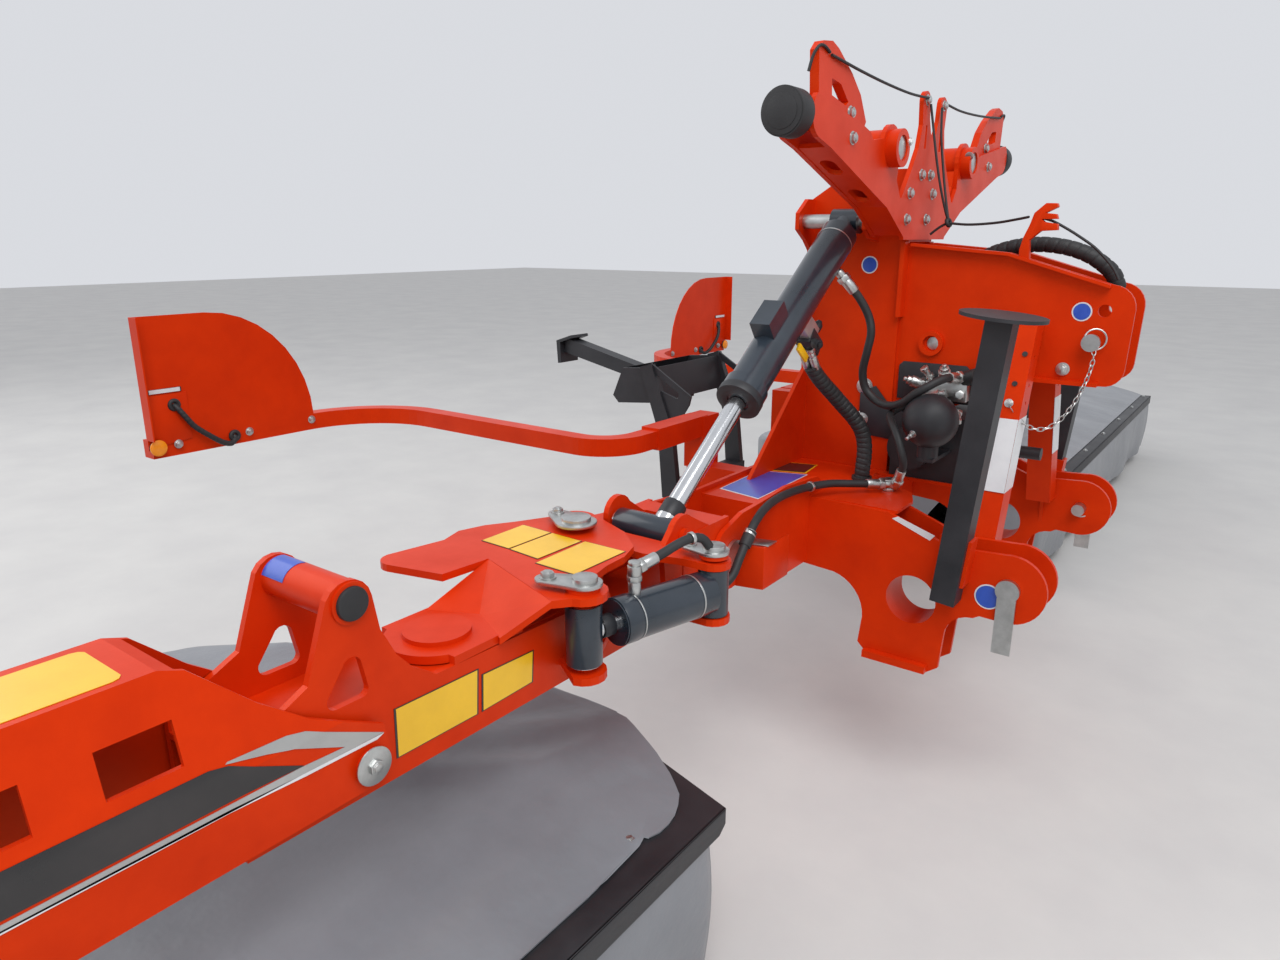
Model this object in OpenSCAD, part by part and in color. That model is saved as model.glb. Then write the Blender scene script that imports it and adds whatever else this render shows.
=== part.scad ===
/* [Hitch] */
// Distance between the middles of the two lower link balls
hitch_span = 825; // [760:5:960]
// Height of the lower hitch pins above the ground
hitch_h = 680; // [600:10:760]
// Radius of the lower hitch pins
hitch_pin_r = 18.3; // [14:0.1:20]
// Free width between the two plates of a lower hitch fork
hitch_gap = 90; // [70:2:100]
// Height of the top link pin above the lower pins
top_link_h = 562; // [520:2:600]
// Radius of the top link pin
top_pin_r = 15.9; // [12:0.1:19]
// Radius of the input shaft
pto_r = 17.5; // [15:0.5:22]
// Radius of the rounded lobe around a lower hitch pin
hitch_lobe_r = 87; // [70:1:95]

/* [Main frame] */
// Thickness of the heavy frame plates
plate_t = 12; // [8:1:16]
// Thickness of the light sheet and box plates
sheet_t = 8; // [5:1:10]
// Front face of the cross beam, behind the hitch pins
beam_front = 533; // [520:1:545]
// Depth of the cross beam from front to rear
beam_depth = 262; // [240:2:280]
// Height of the cross beam
beam_h = 187; // [170:1:200]
// Half length of the closed part of the cross beam
beam_half = 640; // [600:5:680]

/* [Fold hinge] */
// Distance of the fold hinge from the machine's middle
fold_y = 870; // [860:2:890]
// Height of the fold hinge above the lower hitch pins
fold_z = 90; // [80:1:100]
// Radius of the fold pin
fold_pin_r = 25; // [20:1:30]
// Radius of the rounded end of the beam's cheeks
fold_ear_r = 82; // [70:1:90]

/* [Break-away hinge] */
// Distance of the upright hinge behind the hitch pins
swing_x = 770; // [750:2:790]
// Distance of the upright hinge from the machine's middle
swing_y = 1165; // [1150:1:1180]
// Radius of the upright pin
swing_pin_r = 30; // [24:1:34]
// Height of the top of the boom's top plate above the hitch pins
top_plate_z = 205; // [195:1:215]

/* [Boom] */
// Middle line of the boom behind the hitch pins
boom_x = 665; // [655:1:670]
// Outside width of the boom's box
boom_w = 190; // [170:2:194]
// Height of the boom's box
boom_h = 150; // [130:2:156]
// Distance of the cross tube from the machine's middle
tube_y = 1885; // [1860:5:1910]
// Height of the cross tube above the hitch pins
tube_z = 315; // [300:1:330]
// Radius of the cross tube
tube_r = 32; // [26:1:38]

/* [Outer arm] */
// Inner end of the arm's side plates from the machine's middle
arm_y0 = 1845; // [1830:5:1850]
// Outer end of the arm from the machine's middle
arm_y1 = 2960; // [2940:5:3000]
// Outside width of the arm
arm_w = 230; // [226:2:234]
// Height of the arm's top above the hitch pins
arm_top = 312; // [300:2:320]

/* [Mower unit] */
// Number of cutting discs on a unit
disc_count = 7; // [5:1:7]
// Distance between neighbouring disc shafts
disc_pitch = 440; // [430:5:445]
// Radius of the circle that the knife tips sweep
tip_r = 260; // [250:1:264]
// Distance of the disc shafts behind the hitch pins
disc_x = 720; // [710:5:730]
// Middle of a unit from the machine's middle
unit_y = 2875; // [2870:5:2900]
// Inner to outer length of the canvas
canvas_len = 3250; // [3220:10:3300]
// Front edge of the canvas behind the hitch pins
canvas_front = 317; // [300:1:330]
// Front to rear depth of the canvas
canvas_depth = 1560; // [1500:10:1600]
// Thickness of the canvas and its carrier
canvas_t = 6; // [5:1:8]
// Height of the float hinge above the hitch pins
float_z = 60; // [50:2:70]

/* [Cylinders] */
// Middle plane of the lift cylinders behind the hitch pins
lift_x = 610; // [600:1:620]
// Sideways place of the lift cylinder's top pin
lift_top_y = 155; // [150:1:160]
// Height of the lift cylinder's top pin
lift_top_z = 862; // [850:1:870]
// Sideways place of the lift cylinder's rod eye
lift_eye_y = 1060; // [1050:1:1070]
// Height of the lift cylinder's rod eye
lift_eye_z = 190; // [185:1:200]
// Outer radius of the lift cylinder's barrel
lift_r = 50; // [40:1:55]
// Outer radius of the break-away cylinder's barrel
safety_r = 45; // [40:1:46]

/* [Guards] */
// Distance of the outer edge of the rear guard panels from the middle
guard_y = 1506; // [1450:5:1550]
// Distance of the guard panels behind the hitch pins
guard_x = 2030; // [2000:10:2100]
// Height of the top edge of the guard panels
guard_top = 616; // [580:2:650]
// Height of the guard arms
guard_z = 255; // [245:1:265]

/* [Hidden] */
$fn = 48;
fit = 0.3;
side_names = ["right", "left"];
centre_nodes = ["hitch_frame", "top_box", "mast", "yoke", "hitch_pins", "frame_pins",
    "gearbox", "accumulator", "rear_support"];
pair_nodes = ["guard", "stand_leg", "fold_bracket", "boom", "outer_arm", "unit_frame",
    "cutterbar", "canvas", "lift_barrel", "lift_rod", "safety_barrel", "safety_rod"];
disc_nodes = [for (i = [1:disc_count]) str("disc_", i)];

orange = [0.9, 0.22, 0.06];
dark = [0.13, 0.13, 0.15];
blue_black = [0.12, 0.15, 0.19];
steel = [0.7, 0.72, 0.74];
grey = [0.55, 0.55, 0.57];

// The hitch pins are the point that all places are measured from.
// The whole is then moved so that its box stands on the ground at its middle.
box_front = 130;
guard_bar_w = 50;
front_most = box_front;
rear_most = guard_x + guard_bar_w / 2;
shift_x = (rear_most - front_most) / 2;
module place() translate([shift_x, 0, hitch_h]) children();
// Index 0 is the right side, where Y is negative; index 1 is the left side.
module on_side(k) place() if (k == 1) children(); else mirror([0, 1, 0]) children();

// Points on an arc about c from angle a0 to a1
function arc(c, r, a0, a1, n = 10) =
    [for (i = [0:n]) c + r * [cos(a0 + (a1 - a0) * i / n), sin(a0 + (a1 - a0) * i / n)]];
// A plate with its outline in (x, z), from y0 to y0 + t
module plate_xz(y0, t) translate([0, y0 + t, 0]) rotate([90, 0, 0])
    linear_extrude(t) children();
// A plate with its outline in (y, z), from x0 to x0 + t
module plate_yz(x0, t) translate([x0, 0, 0]) rotate([90, 0, 90])
    linear_extrude(t) children();
// A flat plate with its outline in (x, y), from z0 to z0 + t
module plate_xy(z0, t) translate([0, 0, z0]) linear_extrude(t) children();
// A round bar along X between x0 and x1
module bar_x(x0, x1, y, z, r) translate([x0, y, z]) rotate([0, 90, 0])
    cylinder(r = r, h = x1 - x0);
// A round bar along Y between y0 and y1
module bar_y(y0, y1, x, z, r) translate([x, y1, z]) rotate([90, 0, 0])
    cylinder(r = r, h = y1 - y0);
// An upright round bar
module bar_z(z0, z1, x, y, r) translate([x, y, z0]) cylinder(r = r, h = z1 - z0);
module box(x0, x1, y0, y1, z0, z1) translate([x0, y0, z0])
    cube([x1 - x0, y1 - y0, z1 - z0]);
// Both sides of a symmetrical piece
module both() {
    children();
    mirror([0, 1, 0]) children();
}

// Hitch frame
fork_in = hitch_span / 2 - hitch_gap / 2;
fork_out = hitch_span / 2 + hitch_gap / 2;
beam_z1 = 142;
beam_z0 = beam_z1 - beam_h;
beam_rear = beam_front + beam_depth;
ear_gap = 3;
// Half width over the side plates of the upper box
box_half = 82;
hole_x = -234;
hole_z = -84;
hole_r = 65;
module hitch_plate_outline() {
    polygon(concat(
        [[-beam_front, beam_z1], [-310, beam_z1 - 4], [-150, 78]],
        arc([0, 0], hitch_lobe_r, 100, -100, 20),
        [[-60, -84]],
        arc([-75, -160], 67, 90, 180, 6),
        [[-149, -253], [-176, -273], [-346, -262], [-368, -240]],
        arc([-470, -165], 110, 0, 80, 8),
        [[-beam_front - 20, -50]]));
}
module hitch_plate(y0) {
    difference() {
        plate_xz(y0, plate_t) hitch_plate_outline();
        bar_y(y0 - 1, y0 + plate_t + 1, 0, 0, hitch_pin_r + fit);
        bar_y(y0 - 1, y0 + plate_t + 1, hole_x, hole_z, hole_r);
    }
}
// Top edges of the two cheeks, from the rounded end to the middle
front_top = [[828, 186], [744, 190], [605, 200], [424, 187], [380, 160], [340, beam_z1],
    [0, beam_z1]];
rear_top = [[beam_half, beam_z1 + 14], [0, beam_z1 + 14]];
module beam_cheek(x0, ear_end, top) {
    difference() {
        plate_yz(x0, plate_t) polygon(concat(
            [[0, beam_z0], [beam_half, beam_z0]],
            arc([fold_y, fold_z], fold_ear_r, -100, ear_end, 16), top));
        bar_x(x0 - 1, x0 + plate_t + 1, fold_y, fold_z, fold_pin_r + fit);
    }
}
stand_w = 60;
stand_y = fork_out + plate_t + stand_w / 2 + 5.5;
stand_tilt = 5.3;
stand_len = 696;
module along_stand() translate([-104, stand_y, 299]) rotate([0, stand_tilt, 0]) children();
module hitch_frame() {
    color(orange) {
        both() {
            hitch_plate(fork_in - plate_t);
            hitch_plate(fork_out);
            // Ring welded through the two plates
            difference() {
                bar_y(fork_in, fork_out, hole_x, hole_z, hole_r + 10);
                bar_y(fork_in - 1, fork_out + 1, hole_x, hole_z, hole_r);
            }
            // Ledge along the bottom edge
            box(-346, -176, fork_out + plate_t, fork_out + plate_t + 20, -272, -252);
            // Deck between the fork plates and the beam, with the gearbox's console
            plate_xy(beam_z1 - sheet_t, sheet_t) polygon([[-beam_front - 6, 0],
                [-beam_front - 6, fork_out + 1], [-290, fork_out + 1],
                [-290, fork_in - 20], [-319, fork_in - 94], [-397, fork_in - 148],
                [-480, 160], [-480, 122], [-236, 122], [-236, 0]]);
            beam_cheek(-beam_front - plate_t, 62, front_top);
            beam_cheek(-beam_rear, 95, rear_top);
            // Top and bottom plates of the beam
            box(-beam_rear + plate_t, -beam_front - plate_t, 0, beam_half - 20,
                beam_z1 - sheet_t, beam_z1);
            box(-beam_rear + plate_t, -beam_front - plate_t, 0, beam_half - 20,
                beam_z0, beam_z0 + sheet_t);
            // Inner diaphragm that closes the beam's end
            box(-beam_rear + plate_t, -beam_front - plate_t, beam_half - 36,
                beam_half - 20, beam_z0 + sheet_t, beam_z1 - sheet_t);
            brace_tube();
            stand_saddle();
        }
    }
}
// Square tube that leans from the inner fork plate up to the side of the upper box
brace_w = 70;
brace_half = 37;
brace_z0 = 20;
brace_z1 = 600;
brace_y0 = fork_in - plate_t - brace_half + 2;
brace_y1 = box_half + fit + brace_half;
function brace_at(z) = brace_y0 + (brace_y1 - brace_y0) * (z - brace_z0)
    / (brace_z1 - brace_z0);
module brace_side(g, z0, z1) polygon([[brace_at(z0) - brace_half + g, z0],
    [brace_at(z0) + brace_half - g, z0], [brace_at(z1) + brace_half - g, z1],
    [brace_at(z1) - brace_half + g, z1]]);
module brace_tube() {
    difference() {
        plate_yz(-145, brace_w) brace_side(0, brace_z0, brace_z1);
        plate_yz(-139, brace_w - 12) brace_side(6, brace_z0 - 1, brace_z1 + 1);
        // Three small holes in the front face
        for (z = [406, 450, 520]) bar_x(-82, -74, brace_at(z), z, 5);
    }
    // Gusset at the foot
    plate_yz(-115, 10) polygon([[fork_in - plate_t + 1, -70],
        [fork_in - plate_t + 1, 74], [brace_at(74) + 20, 74], [brace_y0 + 20, brace_z0]]);
}
// Three-sided holder that the stowed stand leg slides in
module stand_saddle() along_stand() difference() {
    box(-stand_w / 2 - 8, stand_w / 2 + 8, fork_out + plate_t - 1 - stand_y, 14,
        -300, -180);
    box(-stand_w / 2 - fit, stand_w / 2 + fit, -stand_w / 2 - fit, stand_w, -301, -179);
}

// Upper box for the top link
module top_box() {
    color(orange) both() {
        difference() {
            plate_xz(box_half - plate_t, plate_t) polygon(concat(
                [[-620, 350], [-300, 350], [-110, 450], [70, 450]],
                arc([80, 495], 45, -80, 0, 5),
                arc([box_front - 60, 645], 60, 0, 85, 6),
                [[-180, 780], [-450, 803], [-620, 803]]));
            bar_y(60, 90, 45, top_link_h, top_pin_r + fit);
            bar_y(60, 90, 62, 640, 16);
        }
        // Bent top flange and the two bottom strips
        plate_xz(box_half, 24) polygon([[-440, 795], [-180, 772], [70, 697], [70, 705],
            [-180, 780], [-440, 803]]);
        box(-440, -300, box_half, box_half + 24, 350, 360);
        box(-90, 70, box_half, box_half + 24, 450, 460);
        // Welded boss with a through hole
        difference() {
            bar_y(box_half, box_half + 14, -365, 530, 34);
            bar_y(box_half - 1, box_half + 15, -365, 530, 22);
        }
    }
    color(orange) {
        box(-610, -300, 2 - box_half, box_half - 2, 350, 350 + sheet_t);
        box(-90, 60, 2 - box_half, box_half - 2, 452, 452 + sheet_t);
        // Rear wall between the two side plates
        box(-460, -460 + plate_t, 2 - box_half, box_half - 2, 358, 780);
    }
}

// Mast
mast_front = 464;
mast_rear = 752;
mast_top = 1000;
lug_front = 550;
module mast() {
    color(orange) {
        both() {
            plate_xz(box_half + fit, plate_t) polygon([[-mast_rear + 1, beam_z1],
                [-mast_front, beam_z1], [-mast_front, mast_top],
                [-mast_rear + 120, mast_top], [-mast_rear + 1, 925]]);
            // Upright rib beside the upper box
            box(-mast_front - 1, -mast_front + plate_t, box_half + fit, box_half + 34,
                600, 806);
        }
        both() difference() {
            union() {
                // Rear wall with its gusset, and the front lug of the cylinder's pin
                plate_yz(-mast_rear, plate_t) polygon([[0, beam_z1], [430, beam_z1],
                    [110, 430], [110, 780], [lift_top_y - 10, 810],
                    [lift_top_y + 40, 840], [lift_top_y + 40, 885], [140, 925],
                    [0, 925]]);
                plate_yz(-lug_front, plate_t) polygon([[box_half + 2, 806],
                    [lift_top_y, 815], [lift_top_y + 38, 840],
                    [lift_top_y + 38, 885], [130, 925], [box_half + 2, 925]]);
            }
            bar_x(-mast_rear - 1, -lug_front + plate_t + 1, lift_top_y, lift_top_z,
                20 + fit);
        }
        // Front plate that the yoke is bolted to
        plate_yz(-mast_front, plate_t) translate([-94, 806])
            square([188, mast_top - 806]);
    }
}

// Yoke: two box arms in a V, each with a horn and a buffer, and the fork in the middle
yoke_front = mast_front - 2 * plate_t - fit;
yoke_depth = 92;
yoke_rear = yoke_front + yoke_depth;
boss_at = [296, 1035];
buffer_at = [700, 1075];
module yoke_arm_outline() {
    polygon(concat(
        [[100, 812], [170, 820], [300, 892], [655, 1012]],
        arc(buffer_at, 50, -70, 55, 8),
        [[470, 1071], [435, 1062], [415, 1046]],
        arc(boss_at, 58, 20, 200, 10),
        [[245, 960], [215, 920], [100, 900]]));
}
module yoke_fork_outline() {
    polygon(concat([[0, 812], [165, 812], [215, 905], [140, 1000], [105, 1050],
        [88, 1110]], arc([68, 1170], 27, 0, 180, 8), [[36, 1130]],
        arc([0, 1060], 34, 60, 90, 3)));
}
module horn_outline() {
    polygon([[520, 1020], [600, 1020], [700, 1100], [710, 1205], [690, 1224], [645, 1230],
        [612, 1220], [535, 1180], [480, 1140], [440, 1085], [470, 1040]]);
}
module yoke() {
    color(orange) both() {
        // Front and rear face of the arm
        difference() {
            union() {
                plate_yz(-yoke_front - plate_t, plate_t) yoke_arm_outline();
                plate_yz(-yoke_rear, plate_t) difference() {
                    yoke_arm_outline();
                    translate([-1, 700]) square([160, 400]);
                }
                plate_yz(-yoke_front - plate_t, plate_t) yoke_fork_outline();
                bar_x(-yoke_rear + 1, -yoke_front + 30, boss_at[0], boss_at[1], 46);
            }
            bar_x(-yoke_rear - 1, -yoke_front + 31, boss_at[0], boss_at[1], 31);
            // Long hole between the fork's prong and its foot
            plate_yz(-yoke_front - plate_t - 1, plate_t + 2) polygon([[52, 1052],
                [66, 1052], [62, 1112], [52, 1112]]);
        }
        // Horn behind the front face, with its slanted window
        plate_yz(-yoke_front - plate_t - 22, 22) difference() {
            horn_outline();
            polygon([[560, 1108], [548, 1118], [592, 1150], [640, 1156], [636, 1122]]);
        }
        // Lower web between the two faces, with two long holes
        difference() {
            plate_yz(-yoke_rear + plate_t, yoke_depth - 2 * plate_t)
                polygon([[172, 823], [300, 894], [653, 1013], [650, 1023],
                    [297, 904], [172, 835]]);
            for (p = [[375, 924], [545, 981]])
                translate([-yoke_front - yoke_depth / 2, p[0], p[1] - 40])
                    linear_extrude(80) polygon(concat(arc([0, 22], 19, 0, 180),
                        arc([0, -22], 19, 180, 360)));
        }
        // Inner web from the middle up to the boss
        plate_yz(-yoke_rear + plate_t, yoke_depth - 2 * plate_t)
            polygon([[213, 921], [243, 961], [251, 1008], [242, 1010], [234, 965],
                [205, 927]]);
        // End wall that carries the buffer
        box(-yoke_rear + plate_t, -yoke_front - plate_t, 700, 712, 1042, 1110);
    }
    // Rubber buffers on the two ends
    color(dark) both() {
        bar_y(751, 800, -yoke_front - yoke_depth / 2, buffer_at[1], 50);
        bar_y(711, 752, -yoke_front - yoke_depth / 2, buffer_at[1], 30);
    }
}

// Pins of the hitch
module hitch_pins() {
    color(steel) {
        both() {
            bar_y(fork_in - plate_t - 34, fork_out + plate_t + 13, 0, 0, hitch_pin_r);
            bar_y(fork_out + plate_t + fit, fork_out + plate_t + 13, 0, 0, 28);
            // Flat handle that hangs from the pin's head
            box(-22, 22, fork_out + plate_t + 4, fork_out + plate_t + 10, -165, -20);
        }
        bar_y(-118, 118, 45, top_link_h, top_pin_r);
        both() bar_y(106, 118, 45, top_link_h, 22);
    }
}

// Fold pins and the top pins of the lift cylinders
module frame_pins() {
    color(steel) both() {
        bar_x(-beam_rear - 6, -beam_front + 6, fold_y, fold_z, fold_pin_r);
        bar_x(-beam_front + 1, -beam_front + 9, fold_y, fold_z, 40);
        bar_x(-mast_rear - 4, -lug_front + plate_t + 4, lift_top_y, lift_top_z, 20);
    }
}

// Gearbox with its input shaft, one plain block with its flanges
gear_z = 235;
module gearbox() {
    color(dark) {
        box(-448, -240, -115, 115, beam_z1 + fit, 330);
        bar_x(-240, -215, 0, gear_z, 80);
        both() bar_y(115, 150, -385, gear_z, 62);
        bar_x(-215, -180, 0, gear_z, 50);
    }
    color(steel) bar_x(-180, -60, 0, gear_z, pto_r);
}
module accumulator() color(dark) {
    translate([-300, -235, 340]) sphere(r = 74);
    bar_z(238, 280, -300, -235, 28);
    box(-318, -275, -262, -115 - fit, 230, 240);
}
// Rear frame: two windowed side plates on struts, a tray between them and a square tube
frame_y = 210;
module rear_support() color(dark) {
    box(-1190, -beam_rear - fit, -40, 40, -40, 30);
    box(-1195, -1130, -frame_y - 12, frame_y + 12, -40, 10);
    both() {
        plate_xz(frame_y - 12, 24) polygon([[-1195, -40], [-1130, -40], [-1160, 205],
            [-1244, 412], [-1290, 400], [-1215, 190]]);
        plate_xz(frame_y - 4, sheet_t) difference() {
            polygon([[-1277, 402], [-1250, 414], [-1089, 318], [-1097, 288],
                [-1150, 205], [-1200, 200]]);
            polygon([[-1230, 378], [-1139, 326], [-1137, 312], [-1146, 305],
                [-1212, 326]]);
        }
    }
    // Tray, open at the top
    difference() {
        plate_xz(-frame_y, 2 * frame_y) polygon([[-1245, 398], [-1372, 388],
            [-1415, 290], [-1391, 266], [-1225, 282]]);
        plate_xz(10 - frame_y, 2 * frame_y - 20) polygon([[-1250, 420], [-1367, 400],
            [-1405, 292], [-1387, 275], [-1235, 291]]);
    }
    // Square tube with the bent plate at its end
    plate_xz(-28, 56) polygon([[-1235, 272], [-1235, 318], [-1788, 445], [-1800, 392]]);
    plate_xz(-50, 100) polygon([[-1796, 352], [-1812, 350], [-1818, 436], [-1745, 460],
        [-1742, 450], [-1800, 430]]);
}

// Guard: arm in an S, run along Y, then rearwards, then outwards, with its panel
guard_root_x = 1000;
guard_run_y = 740;
guard_bend = 120;
guard_turn = 280;
module guard() {
    h = guard_bar_w / 2;
    c1 = [-guard_root_x - guard_bend, guard_run_y - guard_bend];
    c2 = [-guard_x + guard_turn, guard_run_y + guard_turn];
    color(orange) {
        // Bracket on the beam, and the sleeve that the arm is pushed into
        box(-guard_root_x - 25, -beam_rear - fit, 260, 330, 60, 130);
        box(-guard_root_x - 35, -guard_root_x + 35, 240, 330, 120, guard_z + 30);
        box(-guard_root_x - 32, -guard_root_x + 32, 300, 560, guard_z - 32, guard_z + 32);
        plate_xy(guard_z - h, guard_bar_w) polygon(concat(
            [[-guard_root_x + h, 550]], arc(c1, guard_bend + h, 0, 90, 12),
            arc(c2, guard_turn - h, 270, 180, 12),
            [[-guard_x + h, guard_y - 10], [-guard_x - h, guard_y - 10]],
            arc(c2, guard_turn + h, 180, 270, 12),
            arc(c1, guard_bend - h, 90, 0, 12), [[-guard_root_x - h, 550]]));
        // Panel with its rounded inner edge, and the flange along its outer edge
        plate_yz(-guard_x + h + 0.5 - 4, 4) polygon(concat(
            [[guard_y - 500, guard_z], [guard_y, guard_z], [guard_y, guard_top]],
            [for (q = [90:10:180]) [guard_y - 200 + 310 * cos(q),
                guard_z + 20 + (guard_top - guard_z - 20) * sin(q)]]));
        box(-guard_x + h - 4, -guard_x + h + 36, guard_y - 4, guard_y, guard_z + 30,
            guard_top);
    }
}

// Stowed stand leg with its foot plate on top
module stand_leg() color(dark) along_stand() {
    difference() {
        box(-stand_w / 2, stand_w / 2, -stand_w / 2, stand_w / 2, -stand_len / 2,
            stand_len / 2);
        box(5 - stand_w / 2, stand_w / 2 - 5, 5 - stand_w / 2, stand_w / 2 - 5,
            -stand_len / 2 - 1, stand_len / 2 - 10);
    }
    bar_z(stand_len / 2, stand_len / 2 + 8, 0, 0, 95);
}

// Fold bracket between the fold hinge and the upright break-away hinge
brk_z0 = 52;
brk_z1 = top_plate_z - 18;
brk_t = 15;
barrel_pin = [-423, 1134];
rod_pin = [-505, 1448];
swing = [-swing_x, swing_y];
module bracket_outline() {
    polygon(concat(
        [[-beam_rear + plate_t + ear_gap, fold_y + 12],
        [-beam_rear + plate_t + ear_gap, fold_y + fold_ear_r + 10]],
        arc(swing, 66, 195, 60, 10),
        [[-640, 1190], [-560, 1195], [-480, 1172]],
        arc(barrel_pin, 36, 100, -70, 8),
        [[-500, 1070], [-535, 1025], [-beam_front - plate_t - ear_gap, 1000],
        [-beam_front - plate_t - ear_gap, fold_y + 12]]));
}
eye_x0 = -725;
eye_x1 = -568;
eye_r = 30;
cheek_t = 14;
module fold_bracket() {
    color(orange) difference() {
        union() {
            bar_x(-beam_rear + plate_t + ear_gap, -beam_front - plate_t - ear_gap,
                fold_y, fold_z, 46);
            plate_xy(brk_z0, brk_t) bracket_outline();
            plate_xy(brk_z1 - brk_t, brk_t) bracket_outline();
            bar_z(brk_z0, brk_z1, swing[0], swing[1], 62);
            // Webs between the two plates
            box(-beam_rear + plate_t + ear_gap, -beam_rear + 2 * plate_t + ear_gap,
                fold_y, swing_y - 30, brk_z0, brk_z1);
            box(-558, -546, fold_y, 1060, brk_z0, brk_z1);
            // Rear cheek around the end of the lift rod's eye
            plate_yz(eye_x0 - 6 - cheek_t, cheek_t) polygon(concat(
                [[fold_y + 40, brk_z0], [1105, brk_z0], [1125, 140]],
                arc([lift_eye_y - 10, lift_eye_z + 14], 44, -20, 150, 10),
                [[960, 190], [fold_y + 40, 170]]));
            // Front cheek with its sloped top
            plate_yz(eye_x1 + 6, cheek_t) polygon(concat(
                [[fold_y + 40, brk_z0], [1120, brk_z0], [1135, 180]],
                arc([lift_eye_y, lift_eye_z], 48, 30, 130, 8),
                [[980, 200], [fold_y + 40, 165]]));
        }
        bar_x(-beam_rear, -beam_front, fold_y, fold_z, fold_pin_r + fit);
        bar_z(brk_z0 - 1, brk_z1 + 1, swing[0], swing[1], swing_pin_r + fit);
        bar_z(brk_z0 - 1, brk_z1 + 1, barrel_pin[0], barrel_pin[1], 16 + fit);
        bar_x(eye_x0 - 30, eye_x1 + 30, lift_eye_y, lift_eye_z, 18 + fit);
        // Room for the rod's eye between the cheeks
        box(eye_x0 - 6, eye_x1 + 6, lift_eye_y - 112, lift_eye_y + eye_r + 20,
            lift_eye_z - 82, brk_z1 + 1);
    }
    color(steel) {
        bar_z(brk_z0 - 5, brk_z1 + 5, barrel_pin[0], barrel_pin[1], 16);
        bar_z(brk_z1 + 5, brk_z1 + 13, barrel_pin[0], barrel_pin[1], 30);
        // The two ends of the eye's pin, in the cheeks
        bar_x(eye_x0 - 30, eye_x0 - 6, lift_eye_y, lift_eye_z, 18);
        bar_x(eye_x1 + 6, eye_x1 + 30, lift_eye_y, lift_eye_z, 18);
    }
}

// Boom: top plate over the upright hinge, box beam and the two eared cheeks
boom_x0 = -boom_x - boom_w / 2;
boom_x1 = -boom_x + boom_w / 2;
boom_z0 = -10;
boom_z1 = boom_z0 + boom_h;
boom_y1 = 2080;
disc_plate_y = 1655;
sheet_top = top_plate_z;
// Corners of the bent top sheet: the fold line, and its lower edge at the round plate
fold_a = [-758, 1440];
fold_b = [-516, 1521];
low_z = boom_z1 + 14;
module top_plate_outline() {
    polygon(concat(
        arc(swing, 66, 190, 285, 6),
        [[-640, 1150], [-570, 1210], [-548, 1270], [-545, 1330], [-530, 1395]],
        arc(rod_pin, 46, -75, 75, 8),
        [fold_b, fold_a, [-767, 1551]],
        arc([-900, 1545], 37, 80, 200, 6),
        [[-914, 1418], [-934, 1359], [-917, 1299], [-880, 1240]]));
}
// A flat facet of sheet thickened downwards; its corners go round anticlockwise from above
module facet(a, b, c, t) {
    low = [0, 0, t];
    polyhedron(points = [a, b, c, a - low, b - low, c - low],
        faces = [[0, 2, 1], [3, 4, 5], [0, 1, 4, 3], [1, 2, 5, 4], [2, 0, 3, 5]]);
}
module boom_cheek(x0) {
    difference() {
        plate_yz(x0, plate_t) difference() {
            polygon(concat(
                [[1090, boom_z0 + 25], [1110, boom_z0], [boom_y1, boom_z0 + 10],
                [boom_y1, boom_z1 + 30], [2020, boom_z1 + 48], [1964, 215]],
                arc([tube_y + 3, tube_z - 6], 41, 10, 172, 8),
                [[1838, 256], [1813, 205], [1785, 172], [1740, boom_z1],
                [1290, boom_z1 - 12], [1270, 45], [1090, 38]]));
            // Teardrop window
            polygon(concat(arc([1892, 215], 17, 20, 160, 5),
                arc([1879, 173], 12, 180, 270, 4), arc([1923, 176], 15, 270, 380, 5)));
        }
        bar_x(x0 - 1, x0 + plate_t + 1, arm_bolt[0], arm_bolt[1], 14 + fit);
    }
}
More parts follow.
